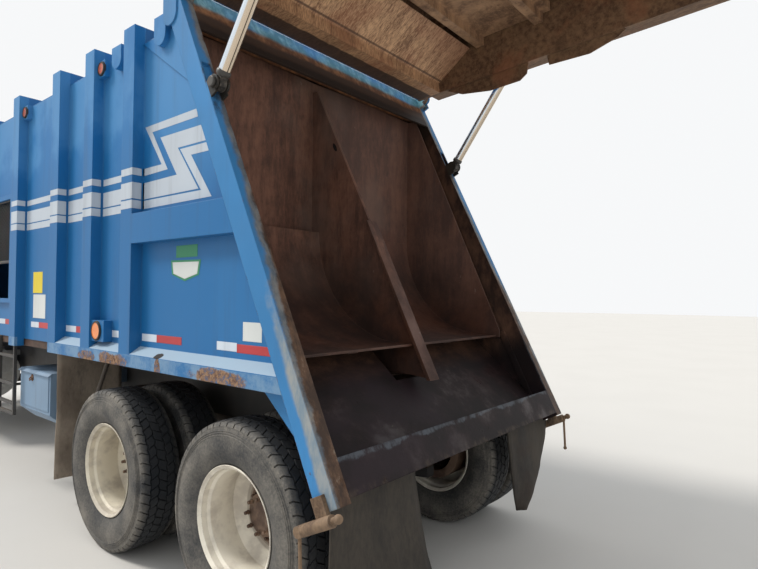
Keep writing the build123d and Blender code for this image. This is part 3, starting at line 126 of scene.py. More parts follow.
class TruckStage(bpy.types.PropertyGroup):
    """Camera, light and floor."""

    lens: FloatProperty(name="Lens", description="Focal length in millimetres", default=26.05)
    place: FloatVectorProperty(name="Camera place", description="Camera from the rear axle on the floor plan",
                               subtype="TRANSLATION", unit="LENGTH", default=(2.8746, 2.3197, 1.6672))
    yaw: FloatProperty(name="Yaw", description="Camera heading from the truck's front, in degrees",
                       default=50.756)
    pitch: FloatProperty(name="Pitch", description="Camera above the horizon, in degrees", default=1.138)
    roll: FloatProperty(name="Roll", description="Camera roll, in degrees", default=0.53)
    floor: FloatVectorProperty(name="Floor", description="Colour of the floor", subtype="COLOR",
                               default=(0.62, 0.6, 0.57), min=0, max=1)


# Surfaces
def along(values):
    """A plain float array."""
    return np.asarray(values, dtype=float)


def smooth_step(t):
    """3t² - 2t³ between 0 and 1."""
    t = np.clip(t, 0, 1)
    return t * t * (3 - 2 * t)


def ripple(p):
    """(sin p + 0.6 sin 2.3p + 0.35 sin(5.1p + 0.4)) / 1.95, which stands in for the unevenness of rubber."""
    return (np.sin(p) + 0.6 * np.sin(p * 2.3) + 0.35 * np.sin(p * 5.1 + 0.4)) / 1.95


def collar(middle, half, inner, outer):
    """The profile of a flat ring, as (distance along the axis, radius)."""
    return [(middle - half, inner), (middle - half, outer), (middle + half, outer), (middle + half, inner)]


def knob(start, shoulder, end, outer, top):
    """The profile of a round head whose rim is bevelled from the shoulder to the end."""
    return [(start, 0), (start, outer), (shoulder, outer), (end, top), (end, 0)]


def store(mesh, name, values):
    """Keeps one number for each vertex of a mesh."""
    layer = mesh.attributes.new(name, "FLOAT", "POINT")
    layer.data.foreach_set("value", along(values).reshape(-1))


def placed(name, mesh, materials, angle):
    """An object of a mesh that is smooth but for edges sharper than an angle."""
    mesh.shade_smooth()
    mesh.set_sharp_from_angle(angle=math.radians(angle))
    thing = bpy.data.objects.new(name, mesh)
    bpy.context.scene.collection.objects.link(thing)
    for material in materials if isinstance(materials, list) else [materials]:
        mesh.materials.append(material)
    return thing


class Form:
    """Surfaces gathered into one piece."""

    def __init__(self):
        self.points = []
        self.faces = []
        self.paint = []
        self.count = 0
        self.colour = 0

    def _faces(self, faces):
        self.faces += faces
        self.paint += [self.colour] * len(faces)

    def grid(self, points, around=False, along_too=False, ends=False):
        """Quads between neighbours of a (rows, columns, 3) array. Around joins the last column to the first,
        along_too joins the last row to the first, and ends closes the first and last rows with a face."""
        rows, columns = points.shape[:2]
        r = np.arange(rows if along_too else rows - 1)[:, None]
        c = np.arange(columns if around else columns - 1)[None, :]
        r2 = (r + 1) % rows
        c2 = (c + 1) % columns
        corners = [r * columns + c, r * columns + c2, r2 * columns + c2, r2 * columns + c]
        self._faces((np.stack(corners, -1).reshape(-1, 4) + self.count).tolist())
        if ends:
            ring = np.arange(columns) + self.count
            self._faces([ring[::-1].tolist(), (ring + (rows - 1) * columns).tolist()])
        self.points.append(points.reshape(-1, 3))
        self.count += rows * columns
        return self

    def turned(self, profile, centre, steps=64, axis=0, closed=True):
        """A profile of (distance along the axis, radius) turned round the axis through a centre:
        point = centre + axis * distance + radius * (cos, sin) across it."""
        profile = along(profile)
        angle = np.linspace(0, 2 * math.pi, steps, endpoint=False)
        points = np.zeros((len(profile), steps, 3))
        others = [(axis + 1) % 3, (axis + 2) % 3]
        points[..., axis] = profile[:, :1]
        points[..., others[0]] = profile[:, 1:2] * np.cos(angle)
        points[..., others[1]] = profile[:, 1:2] * np.sin(angle)
        return self.grid(points + along(centre), around=True, along_too=closed)

    def tube(self, path, radius, sides=10):
        """A round section carried along a path: point = path + radius * (cos a * side + sin a * up)."""
        path = along(path)
        way = np.gradient(path, axis=0)
        way /= np.linalg.norm(way, axis=1)[:, None]
        ref = np.eye(3)[np.argmin(np.abs(way).max(0))]
        side = np.cross(way, ref)
        side /= np.linalg.norm(side, axis=1)[:, None]
        up = np.cross(side, way)
        angle = np.linspace(0, 2 * math.pi, sides, endpoint=False)[None, :, None]
        ring = np.cos(angle) * side[:, None] + np.sin(angle) * up[:, None]
        return self.grid(path[:, None] + radius * ring, around=True, ends=True)

    def prism(self, outline, start, end, axis=0):
        """An outline of the two other coordinates, in order, carried from start to end along an axis."""
        outline = along(outline)
        others = [i for i in range(3) if i != axis]
        points = np.zeros((2, len(outline), 3))
        points[0, :, axis] = start
        points[1, :, axis] = end
        points[..., others[0]] = outline[:, 0]
        points[..., others[1]] = outline[:, 1]
        return self.grid(points, around=True, ends=True)

    def box(self, low, high):
        """A block between two corners."""
        (a, b, c), (d, e, f) = low, high
        return self.prism([(b, c), (e, c), (e, f), (b, f)], a, d)

    def strip(self, path, low, high):
        """A ribbon on a plan path: point = (x, y) of the path, z between low and high."""
        path = along(path)
        points = np.zeros((len(path), 2, 3))
        points[:, :, :2] = path[:, None]
        points[:, 0, 2] = low
        points[:, 1, 2] = high
        return self.grid(points)

    def hoop(self, path, out, depth, normal, sides=10):
        """An oval section carried round a closed flat path:
        point = path + out * cos a * across + depth * sin a * normal."""
        path = along(path)
        way = np.roll(path, -1, 0) - np.roll(path, 1, 0)
        way /= np.linalg.norm(way, axis=1)[:, None]
        side = np.cross(way, along(normal))
        side /= np.linalg.norm(side, axis=1)[:, None]
        angle = np.linspace(0, 2 * math.pi, sides, endpoint=False)[None, :, None]
        points = path[:, None] + out * np.cos(angle) * side[:, None] + depth * np.sin(angle) * along(normal)
        return self.grid(points, around=True, along_too=True)

    def pane(self, path):
        """A flat face inside a closed line."""
        path = along(path)
        self._faces([list(range(self.count, self.count + len(path)))])
        self.points.append(path)
        self.count += len(path)
        return self

    def bolt(self, centre, axis, way, size):
        """A hexagon head on its washer, standing out of a face along an axis."""
        line = [(-0.4, 0), (-0.4, 1.5), (0.2, 1.5), (0.22, 1), (0.8, 1), (1, 0.8), (1, 0)]
        profile = [(way * a * size, r * size) for a, r in line]
        return self.turned(profile, centre, steps=6, axis=axis, closed=False)

    def mirrored(self):
        """The same surfaces on the truck's other side too."""
        self.points.append(np.concatenate(self.points) * along([-1, 1, 1]))
        self.faces += [[i + self.count for i in face] for face in self.faces]
        self.paint += list(self.paint)
        self.count *= 2
        return self

    def moved(self, change):
        """All surfaces so far through a function of their points."""
        self.points = [change(p) for p in self.points]
        return self

    def sided(self, sign):
        """All surfaces so far, drawn on the left, on the side of a sign."""
        return self.moved(lambda p: p * along([sign, 1, 1]))

    def piece(self, name, body, slot, materials, bevel=0, angle=35, thick=0, mark=None):
        """One mesh object of it all, riding on a body. Mark is the name and the values of an attribute."""
        mesh = bpy.data.meshes.new(name)
        mesh.from_pydata(np.concatenate(self.points).tolist(), [], self.faces)
        mesh.polygons.foreach_set("material_index", self.paint)
        if mark is not None:
            store(mesh, *mark)
        work = bmesh.new()
        work.from_mesh(mesh)
        bmesh.ops.remove_doubles(work, verts=work.verts, dist=1e-5)
        bmesh.ops.recalc_face_normals(work, faces=work.faces)
        work.to_mesh(mesh)
        work.free()
        thing = placed(name, mesh, materials, angle)
        if thick:
            wall = thing.modifiers.new("Wall", "SOLIDIFY")
            wall.thickness = thick
            wall.offset = 1
        if bevel:
            edge = thing.modifiers.new("Edge", "BEVEL")
            edge.width = bevel
            edge.segments = 2
            edge.limit_method = "ANGLE"
            edge.angle_limit = math.radians(angle)
            edge.harden_normals = True
        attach(thing, body)
        return thing


def from_axle(points):
    """Points whose Y is drawn from the rear axle, in the truck's frame."""
    return points + along([0, axle_rear, 0])


def rounded_line(corners, radius, steps=5):
    """A closed line of corners, each rounded by the curve (1 - t)² before + 2t(1 - t) corner + t² after."""
    corners = along(corners)
    before = np.roll(corners, 1, 0) - corners
    after = np.roll(corners, -1, 0) - corners
    first = corners + radius * before / np.linalg.norm(before, axis=1)[:, None]
    last = corners + radius * after / np.linalg.norm(after, axis=1)[:, None]
    t = np.linspace(0, 1, steps)[None, :, None]
    line = (1 - t) ** 2 * first[:, None] + 2 * t * (1 - t) * corners[:, None] + t * t * last[:, None]
    return line.reshape(-1, 3)


def raise_gate(points):
    """Points drawn on the closed tailgate, with Y from the rear axle, where the raised tailgate has them."""
    y = points[..., 1] + axle_rear - hinge_y
    z = points[..., 2] - hinge_z
    c, s = math.cos(raised), math.sin(raised)
    return np.stack([points[..., 0], hinge_y + y * c - z * s, hinge_z + y * s + z * c], -1)


def from_seal(points):
    """Points drawn as (x, out of the sealing plane, up along it) in the truck's frame."""
    w, s = points[..., 1], points[..., 2]
    y = seal_y + w * seal_cos - s * seal_sin
    return np.stack([points[..., 0], y, seal_z + w * seal_sin + s * seal_cos], -1)


def off_seal(y, z):
    """How far Y and Z from the sealing plane's foot lie out of the plane and up along it."""
    return y * seal_cos + z * seal_sin, z * seal_cos - y * seal_sin


def from_lift(points):
    """Points drawn as (x, behind the lift cylinder, along it from its foot) in the truck's frame."""
    c, s = math.cos(lift_lean), math.sin(lift_lean)
    w, up = points[..., 1], points[..., 2]
    return np.stack([points[..., 0], lift_foot[0] + w * c + up * s, lift_foot[1] - w * s + up * c], -1)


# Shader expressions
class Value:
    """A socket of a material. Python's operators on it add Math nodes."""

    def __init__(self, finish, socket):
        self.finish = finish
        self.socket = socket

    def _with(self, operation, *others):
        return self.finish.node("ShaderNodeMath", {"operation": operation}, self, *others)

    def __add__(self, other):
        return self._with("ADD", other)

    def __sub__(self, other):
        return self._with("SUBTRACT", other)

    def __mul__(self, other):
        return self._with("MULTIPLY", other)

    def __radd__(self, other):
        return self._with("ADD", other)

    def __rmul__(self, other):
        return self._with("MULTIPLY", other)

    def __rsub__(self, other):
        return self.finish.node("ShaderNodeMath", {"operation": "SUBTRACT"}, other, self)

    def __abs__(self):
        return self._with("ABSOLUTE")

    def most(self, other):
        """The larger of the two."""
        return self._with("MAXIMUM", other)

    def above(self, low, high):
        """0 below low, 1 above high and a smooth step between them. Low over high turns it round."""
        return self.finish.node("ShaderNodeMapRange", {"interpolation_type": "SMOOTHSTEP", "clamp": True},
                                self, low, high, 0.0, 1.0)

    def held(self):
        """Kept between 0 and 1."""
        return self.finish.node("ShaderNodeClamp", {}, self)


class Finish:
    """A material under way."""

    def __init__(self, name):
        self.material = bpy.data.materials.new(name)
        self.material.use_nodes = True
        self.tree = self.material.node_tree
        self.tree.nodes.clear()
        self.coords = self.tree.nodes.new("ShaderNodeTexCoord")
        self.place = Value(self, self.coords.outputs["Object"])
        parts = self.tree.nodes.new("ShaderNodeSeparateXYZ")
        self.tree.links.new(self.place.socket, parts.inputs[0])
        self.x, self.y, self.z = (Value(self, s) for s in parts.outputs)

    def sealed(self):
        """Distances out of the tailgate's sealing plane and up along it."""
        return off_seal(self.y - seal_y, self.z - seal_z)

    def closed(self):
        """Y from the rear axle and Z that a point of the raised tailgate has when it is closed."""
        y, z = self.y - hinge_y, self.z - hinge_z
        c, s = math.cos(raised), math.sin(raised)
        return y * c + z * s + (hinge_y - axle_rear), z * c - y * s + hinge_z

    def closed_sealed(self):
        """How far out of the sealing plane and up along it the point lies when the tailgate is closed."""
        y, z = self.closed()
        return off_seal(y - (seal_y - axle_rear), z - seal_z)

    def fill(self, socket, value):
        """Links a socket to a value, or sets it to a number, a vector or a colour."""
        if isinstance(value, Value):
            self.tree.links.new(value.socket, socket)
        elif socket.type == "RGBA":
            socket.default_value = (*value[:3], 1)
        else:
            socket.default_value = value

    def node(self, kind, settings, *inputs, out=0, **named):
        """Adds any node: its settings first, then the values or links of its sockets in order or by name."""
        made = self.tree.nodes.new(kind)
        for key, value in settings.items():
            setattr(made, key, value)
        for key, value in list(enumerate(inputs)) + list(named.items()):
            if value is not None:
                self.fill(made.inputs[key if isinstance(key, int) else key.replace("_", " ")], value)
        return Value(self, made.outputs[out]) if made.outputs else None

    def noise(self, scale, detail=3, stretch=None, shift=0.0, rough=0.55):
        """Cloudy noise on Object coordinates, stretched along an axis by a small factor there."""
        place = self.place
        if stretch or shift:
            place = self.node("ShaderNodeVectorMath", {"operation": "MULTIPLY_ADD"}, place,
                              stretch or (1, 1, 1), (shift, shift * 0.7, shift * 1.3))
        return self.node("ShaderNodeTexNoise", {}, Vector=place, Scale=scale, Detail=detail, Roughness=rough)

    def mix(self, factor, first, second):
        """Colour first where the factor is 0, second where it is 1."""
        made = self.tree.nodes.new("ShaderNodeMix")
        made.data_type = "RGBA"
        for index, value in ((0, factor), (6, first), (7, second)):
            self.fill(made.inputs[index], value)
        return Value(self, made.outputs[2])

    def facing(self, axis):
        """The object normal's share along an axis, so that it stays with the piece when its body turns."""
        return self.node("ShaderNodeSeparateXYZ", {}, Value(self, self.coords.outputs["Normal"]), out=axis)

    def rounded(self, radius):
        """The normal of softened edges, and a mask that is about 1 on them and 0 on flat faces."""
        soft = self.node("ShaderNodeBevel", {"samples": 4}, radius)
        true = self.node("ShaderNodeNewGeometry", {}, out="Normal")
        same = self.node("ShaderNodeVectorMath", {"operation": "DOT_PRODUCT"}, soft, true, out=1)
        return soft, (1 - same).above(0.005, 0.16)

    def done(self, colour, rough, normal=None, bump=None, bump_size=0.002, **fixed):
        """The Principled shader and the output."""
        if bump is not None:
            normal = self.node("ShaderNodeBump", {}, Strength=1.0, Distance=bump_size, Height=bump,
                               Normal=normal)
        shader = self.node("ShaderNodeBsdfPrincipled", {}, Base_Color=colour, Roughness=rough, Normal=normal,
                           **fixed)
        self.node("ShaderNodeOutputMaterial", {}, shader)
        return self.material


def tint(colour, scale):
    """A colour made lighter or darker."""
    return tuple(min(c * scale, 1) for c in colour)


paint = None
finishes = {}


def worn(finish, colour, rust=0.2, streak=0.3, dust=0.2, fade=0.3, edge=0.5, extra=None, radius=0.006):
    """Colour, roughness, normal and height of a used surface: paint that fades in clouds, grime in upright
    streaks, rust in spots and on edges, and dust on what faces up."""
    soft, rim = finish.rounded(radius)
    cloud = finish.noise(0.9, 4)
    grain = finish.noise(9, 9, rough=0.7)
    streaks = finish.noise(1.0, 6, stretch=(9, 9, 0.5), rough=0.65)
    faded = tint(colour, 1.7) if isinstance(colour, tuple) else finish.mix(0.35, colour, (0.6, 0.6, 0.6))
    tone = finish.mix(cloud.above(0.35, 0.65) * fade, colour, faded)
    tone = finish.mix((streaks.above(0.5, 0.78) * streak).held(), tone, (0.045, 0.036, 0.03))
    spots = grain + rim * (0.22 * edge) + cloud * 0.12
    if extra is not None:
        spots = spots + extra
    line = 0.86 - 0.3 * rust
    rusty = spots.above(line, line + 0.07)
    rust_tone = finish.mix(finish.noise(23, 5).above(0.35, 0.65), tuple(paint.old_rust), tuple(paint.rust))
    tone = finish.mix(rusty, tone, rust_tone)
    lying = finish.facing(2).above(0.2, 0.9) * 0.75 + 0.25
    film = (finish.noise(2.2, 5).above(0.35, 0.75) * lying * dust).held()
    tone = finish.mix(film, tone, tuple(paint.dust))
    height = grain * 0.25 + rusty * 0.35 + cloud * 2.0
    return tone, rusty, film, soft, height


def painted(name, colour, gloss=0.5, under=None, beyond=None, **wear):
    """Paint on plate. Under is the colour of faces that look down, and beyond is a distance from the truck's
    middle past which the plate is black plastic."""
    finish = Finish(name)
    tone, rusty, film, soft, height = worn(finish, colour, **wear)
    if under is not None:
        tone = finish.mix(finish.facing(2).above(-0.4, -0.8), tone, under)
    if beyond is not None:
        tone = finish.mix(abs(finish.x).above(beyond, beyond + 0.004), tone, (0.02, 0.02, 0.022))
    rough = (1 - gloss) + rusty * 0.4 + film * 0.35
    return finish.done(tone, rough.held(), soft, height, 0.0012, Metallic=0.0, Specular_IOR_Level=0.45)


def spot(finish, y, z, wide, high, wander):
    """1 inside an uneven oval on the truck's sides, about a place drawn from the rear axle."""
    across = (finish.y - (y + axle_rear)) * (1 / wide)
    up = (finish.z - z) * (1 / high)
    return (across * across + up * up + (wander - 0.5) * 3.0).above(1.15, 0.75)


# Rust along the sill, as (y from the rear axle, z, half width, half height)
sill_rust = [(-0.1, 1.235, 0.24, 0.05), (-1.27, 1.235, 0.2, 0.05), (-1.62, 1.235, 0.14, 0.035),
             (-0.685, 1.235, 0.035, 0.06)]


def body_finish():
    """The body's blue: deep low down and faded in clouds higher up, with a pale film on the sill's top that
    is partly dust and partly a painted highlight of sunlight, rust along its lower edge, and a rusted hole
    ahead of the rear wheel, painted near-black as the shade inside it."""
    finish = Finish("body_paint")
    wander = finish.noise(7, 7, rough=0.68)
    side = abs(finish.x)
    high = finish.z.above(2.2, 2.85)
    cloud = finish.noise(0.9, 5, shift=2.0, rough=0.6)
    runs = finish.noise(1.3, 6, stretch=(1, 2.2, 0.35))
    wash = (cloud + high * 0.16 + side.above(1.16, 1.152) * 0.05 + runs * 0.25).above(0.68, 0.8)
    deep = finish.mix(high, tuple(paint.body), (0.012, 0.155, 0.4))
    blue = finish.mix(wash * (high * 0.75 + 0.12), deep, (0.06, 0.235, 0.49))
    low = finish.z.above(1.3, 1.2) * 0.13
    tone, rusty, film, soft, height = worn(finish, blue, rust=0.08, streak=0.22, dust=0.05, fade=0.0,
                                           extra=low)
    # The sill's upward top is paled: partly dust, partly a painted highlight of the sun on it.
    ledge_dust_and_highlight = finish.facing(2).above(0.5, 0.8) * finish.z.above(1.36, 1.35)
    ledge_dust_and_highlight = (ledge_dust_and_highlight * side.above(1.146, 1.15)).held()
    tone = finish.mix(ledge_dust_and_highlight * 0.8, tone, (0.36, 0.46, 0.53))
    patches = None
    for place in sill_rust:
        patch = spot(finish, *place, wander)
        patches = patch if patches is None else patches.most(patch)
    grit = finish.noise(48, 6, rough=0.75)
    fresh = finish.mix(grit.above(0.4, 0.62), (0.09, 0.04, 0.024), (0.31, 0.19, 0.115))
    face = finish.z.above(1.292, 1.285) * side.above(1.19, 1.2) * (wander + grit * 0.3)
    tone = finish.mix(face.above(0.45, 0.8) * 0.45, tone, (0.3, 0.42, 0.5))
    tone = finish.mix((patches * (grit + wander).above(0.72, 1.05)).held(), tone, fresh)
    # A near-black spot: painted shade that stands in for the dark inside the rusted hole.
    hole = spot(finish, -0.695, 1.3, 0.045, 0.016, wander) * finish.x.above(0.4, 0.6)
    tone = finish.mix(hole, tone, (0.012, 0.008, 0.006))
    inside = (finish.facing(0) * finish.x).above(-0.4, -0.8) * side.above(1.146, 1.142)
    bare = finish.mix(wander.above(0.4, 0.64), (0.028, 0.015, 0.011), (0.1, 0.05, 0.033))
    tone = finish.mix(inside.held(), tone, bare)
    rough = (0.45 + rusty * 0.4 + film * 0.35 + patches * 0.4 + ledge_dust_and_highlight * 0.2 + inside * 0.25).held()
    return finish.done(tone, rough, soft, height + patches * grit * 2, 0.0012, Metallic=0.0,
                       Specular_IOR_Level=0.3)


def plate(name, light, dark, scale=1.0, metal=0.25, rough=0.6, stretch=(3, 3, 0.35), polish=0.3):
    """Bare steel that carries refuse: brown stains in streaks, with a worn shine where things slide."""
    finish = Finish(name)
    soft, rim = finish.rounded(0.005)
    streaks = finish.noise(2.2 * scale, 8, stretch=stretch, rough=0.7)
    blots = finish.noise(1.3 * scale, 6, rough=0.62)
    grain = finish.noise(38, 6, rough=0.75)
    tone = finish.mix((streaks * 0.75 + blots * 0.45).above(0.48, 0.76), dark, light)
    tone = finish.mix(grain.above(0.4, 0.75) * 0.5, tone, tint(light, 1.35))
    tone = finish.mix(blots.above(0.58, 0.72) * 0.55, tone, tint(dark, 0.5))
    tone = finish.mix((rim * (1.2 * polish)).held(), tone, (0.3, 0.24, 0.2))
    gleam = (rough + grain * 0.25 - blots.above(0.45, 0.7) * polish).held()
    return finish.done(tone, gleam, soft, grain * 0.5 + streaks * 0.6, 0.0016, Metallic=metal)


def oily(name, colour, dust=0.5, rough=0.55, metal=0.0):
    """Chassis black or cast iron under road dust and oil."""
    finish = Finish(name)
    tone, rusty, film, soft, height = worn(finish, colour, rust=0.35, streak=0.35, dust=dust, fade=0.4,
                                           edge=0.8)
    oil = finish.noise(1.7, 4, shift=3.0).above(0.55, 0.7)
    tone = finish.mix(oil * 0.7, tone, (0.012, 0.011, 0.01))
    return finish.done(tone, (rough + film * 0.4 + rusty * 0.2 - oil * 0.25).held(), soft, height, 0.0015,
                       Metallic=metal)


def rubbery(name, colour, dust):
    """Rubber with dry dust in clouds and scuffs."""
    finish = Finish(name)
    cloud = finish.noise(2.4, 6)
    fine = finish.noise(60, 4, rough=0.7)
    film = ((cloud * 0.8 + fine * 0.4).above(0.42, 0.85) * dust).held()
    tone = finish.mix(film, colour, tuple(paint.dust))
    return finish.done(tone, (0.62 + film * 0.3).held(), None, fine * 0.4 + cloud * 0.3, 0.001,
                       Metallic=0.0, Specular_IOR_Level=0.35)


def bright(name, colour, rough=0.18, stain=0.3):
    """Chromed or polished metal with a little grime."""
    finish = Finish(name)
    film = finish.noise(6, 6).above(0.5, 0.75) * stain
    tone = finish.mix(film, colour, (0.2, 0.16, 0.12))
    return finish.done(tone, (rough + film * 0.5).held(), None, finish.noise(90, 3) * 0.2, 0.0004,
                       Metallic=1.0)


def rod_finish():
    """Hard chrome of the lift rods, with painted reflections: tan and pale blue by the way the surface faces,
    and a dark line along it. Grease lies round the rod's eye.
    """
    finish = Finish("rod_chrome")
    cloud = finish.noise(5, 6)
    # Painted reflections: tan and pale blue by the way the surface faces, and stain marks a dark painted
    # reflection line along the rod.
    painted_reflection_facing = finish.facing(0) * 0.75 - finish.facing(1) * 0.6 + (cloud - 0.5) * 0.05
    stain = painted_reflection_facing.above(-0.5, -0.46) * painted_reflection_facing.above(-0.36, -0.4)
    tone = finish.mix(painted_reflection_facing.above(0.25, 0.4), (0.66, 0.55, 0.43), (0.74, 0.8, 0.86))
    tone = finish.mix(stain, tone, (0.05, 0.038, 0.03))
    y, z = finish.y - lift_foot[0], finish.z - lift_foot[1]
    grease = (y * y + z * z).above(0.0068, 0.0058)
    thick = finish.mix(finish.noise(30, 5).above(0.4, 0.65), (0.02, 0.018, 0.016), (0.1, 0.085, 0.07))
    tone = finish.mix(grease, tone, thick)
    rough = (0.16 + cloud * 0.14 + (stain + grease) * 0.45).held()
    return finish.done(tone, rough, None, cloud * 0.3 + grease * 0.5, 0.0006,
                       Metallic=(0.9 - grease * 0.8).held())


def lens(name, colour, glow=0.0, clear=0.0, high=None):
    """A moulded plastic lens with fine ribs. High is the colour of the lenses over three metres up."""
    finish = Finish(name)
    ribs = finish.node("ShaderNodeTexWave", {"bands_direction": "Z"}, Vector=finish.place, Scale=55.0)
    tone = finish.mix(finish.noise(9, 3).above(0.4, 0.8) * 0.3, colour, tint(colour, 0.6))
    if high is not None:
        tone = finish.mix(finish.z.above(2.9, 3.0), tone, high)
    return finish.done(tone, 0.16, None, ribs, 0.0012, Transmission_Weight=clear, Coat_Weight=0.5,
                       Emission_Color=colour, Emission_Strength=glow)


def glass():
    """Tinted window glass."""
    finish = Finish("window_glass")
    film = finish.noise(3, 5).above(0.45, 0.8) * 0.2
    clear = finish.node("ShaderNodeBsdfTransparent", {}, (0.72, 0.8, 0.78))
    tone = finish.mix(film, (0.02, 0.03, 0.03), tuple(paint.dust))
    shine = finish.node("ShaderNodeBsdfPrincipled", {}, Base_Color=tone, Roughness=0.05,
                        Specular_IOR_Level=0.8)
    blend = finish.node("ShaderNodeMixShader", {}, film * 0.8 + 0.3, clear, shine)
    finish.node("ShaderNodeOutputMaterial", {}, blend)
    return finish.material


def rear_frame_finish():
    """The rear frame: blue posts whose rear edge fades through grey to rust, with pale marks by it low down
    that are partly scuffs and partly a painted highlight, a header that fades downwards into a near-black
    band of painted shade, greasy cylinder feet, and a near-black apron and lip with a worn upper edge."""
    finish = Finish("rear_frame")
    out, up = finish.sealed()
    across = abs(finish.x)
    foot = up.above(-1.4, -2.6)
    tone, rusty, film, soft, height = worn(finish, (0.035, 0.18, 0.4), rust=0.3, streak=0.2, dust=0.12,
                                           edge=0.7, extra=foot * 0.08, radius=0.008)
    wander = finish.noise(5, 7, rough=0.65)
    fine = finish.noise(16, 6, stretch=(1, 1, 0.4), rough=0.7)
    rear_face = out.above(-0.012, -0.006)
    # The rear edge of a post, from its outer corner inwards
    inward = (1.222 - across) * 11 + (wander - 0.5) * 1.5 + foot * 0.75
    worn_tone = finish.mix(fine.above(0.35, 0.65), (0.1, 0.1, 0.09), (0.235, 0.205, 0.16))
    fade = (inward.above(0.3, 0.7) * rear_face).held()
    tone = finish.mix(fade * 0.85, tone, worn_tone)
    brown = finish.mix(fine.above(0.4, 0.7), (0.05, 0.028, 0.018), (0.15, 0.08, 0.045))
    tone = finish.mix((inward.above(0.78, 1.05) * rear_face).held(), tone, brown)
    # Pale marks on the outer face along the rear edge, more of them low down: partly scuffed paint, partly a
    # painted highlight on the edge.
    pale = (out.above(-0.125, -0.03) * foot * 1.05 + (wander - 0.5) * 1.1).above(0.4, 0.85)
    pale = (pale * across.above(1.2, 1.215) * (1 - rear_face)).held()
    chalk_and_highlight = finish.mix(fine.above(0.35, 0.65), (0.21, 0.25, 0.26), (0.36, 0.34, 0.28))
    tone = finish.mix(pale * 0.8, tone, chalk_and_highlight)
    scraped = (fine + foot * 0.24 + rear_face * 0.05).above(0.86, 0.98) * rear_face
    tone = finish.mix(scraped * 0.7, tone, (0.27, 0.24, 0.19))
    # Stained steel between the posts, with a near-black band of painted shade under the header
    blots = finish.noise(2.6, 8, stretch=(1, 2, 1), rough=0.7)
    inner = finish.mix(blots.above(0.4, 0.66), (0.03, 0.016, 0.012), (0.12, 0.06, 0.038))
    header = up.above(-0.4, -0.35)
    band = up + (wander - 0.5) * 0.07
    grade = finish.noise(2.4, 4, shift=5.0).above(0.4, 0.62)
    teal = finish.mix(fine.above(0.4, 0.7), finish.mix(grade, (0.1, 0.27, 0.33), (0.08, 0.26, 0.49)),
                      finish.mix(grade, (0.29, 0.53, 0.58), (0.17, 0.46, 0.68)))
    orange = finish.mix(fine.above(0.4, 0.7), (0.14, 0.055, 0.024), (0.38, 0.17, 0.07))
    top = finish.mix(band.above(-0.105, -0.06), orange, teal)
    top = finish.mix(band.above(-0.125, -0.165), top, (0.06, 0.032, 0.02))
    # Near-black band at the header's foot: painted shade of the recess over the ejector.
    top = finish.mix(band.above(-0.2, -0.24), top, (0.024, 0.014, 0.01))
    inner = finish.mix(header, inner, top)
    # The apron and the lip are near-black, with a faint purple patch and paler crusts.
    apron = up.above(-2.2, -2.4)
    grime = finish.noise(3.2, 8, shift=6.0, rough=0.68)
    dark = finish.mix(grime.above(0.42, 0.66), (0.008, 0.004, 0.0045), (0.022, 0.01, 0.01))
    dark = finish.mix(finish.noise(1.6, 5, shift=2.0).above(0.5, 0.65) * 0.6, dark, (0.022, 0.012, 0.017))
    crust = finish.noise(21, 9, shift=1.0, rough=0.75).above(0.6, 0.72) * grime.above(0.5, 0.62)
    dark = finish.mix((crust * (1 - rear_face)).held(), dark, (0.1, 0.085, 0.06))
    lip_edge = (up + (wander - 0.5) * 0.1).above(-2.772, -2.757) * rear_face
    dark = finish.mix(lip_edge * fine.above(0.35, 0.6) * 0.7, dark, (0.1, 0.115, 0.135))
    dark = finish.mix(rear_face * (fine + grime * 0.5).above(0.9, 1.02) * 0.3, dark, (0.09, 0.052, 0.04))
    bottom = up.above(-2.88, -2.905) * rear_face
    dark = finish.mix(bottom * fine.above(0.45, 0.65) * 0.4, dark, (0.1, 0.072, 0.05))
    inner = finish.mix(apron, inner, dark)
    steel = across.above(1.1415, 1.139).most((finish.facing(0) * finish.x).above(-0.3, -0.7))
    tone = finish.mix(steel, tone, inner)
    # Grease round the feet of the lift cylinders
    y, z = finish.y - lift_foot[0], finish.z - lift_foot[1]
    far = y * y + z * z
    grease = finish.mix(fine.above(0.4, 0.7), (0.018, 0.018, 0.017), (0.07, 0.062, 0.05))
    tone = finish.mix(far.above(0.026, 0.012) * out.above(0.001, 0.004), tone, grease)
    smear = (far.above(0.05, 0.015) * fine.above(0.4, 0.6) * rear_face * 0.8).held()
    tone = finish.mix(smear, tone, (0.03, 0.024, 0.019))
    wet = apron * steel * grime.above(0.5, 0.7)
    shine = (0.5 + rusty * 0.3 + film * 0.3 + steel * 0.12 - wet * 0.35).held()
    return finish.done(tone, shine, soft, height + blots * 0.6 + grime * steel * 1.6 + scraped * 0.3, 0.0024,
                       Metallic=0.0, Specular_IOR_Level=0.25)


def stained(finish, light=(0.66, 0.39, 0.21), dark=(0.17, 0.08, 0.042)):
    """Bare steel of the tailgate's inside: tan scrape marks along the flow of refuse, over brown stains."""
    marks = finish.noise(1.0, 6, stretch=(120, 26, 26), rough=0.75)
    broad = finish.noise(1.0, 8, stretch=(13, 2.2, 2.2), rough=0.7)
    blots = finish.noise(1.5, 7, shift=4.0, rough=0.65)
    tone = finish.mix((marks * 0.7 + broad * 0.4 + blots * 0.15).above(0.47, 0.78), dark, light)
    tone = finish.mix(finish.noise(3.4, 7, shift=9.0).above(0.5, 0.66) * 0.5, tone, (0.3, 0.115, 0.055))
    tone = finish.mix(blots.above(0.55, 0.72) * 0.65, tone, tint(dark, 0.45))
    return tone, marks * 0.7 + broad * 0.5


def shaded_stained_steel(finish):
    """The bare steel of the sides and the pan: the stained steel in darker tones, as painted shade."""
    return stained(finish, (0.25, 0.145, 0.0775), (0.075, 0.036, 0.019))


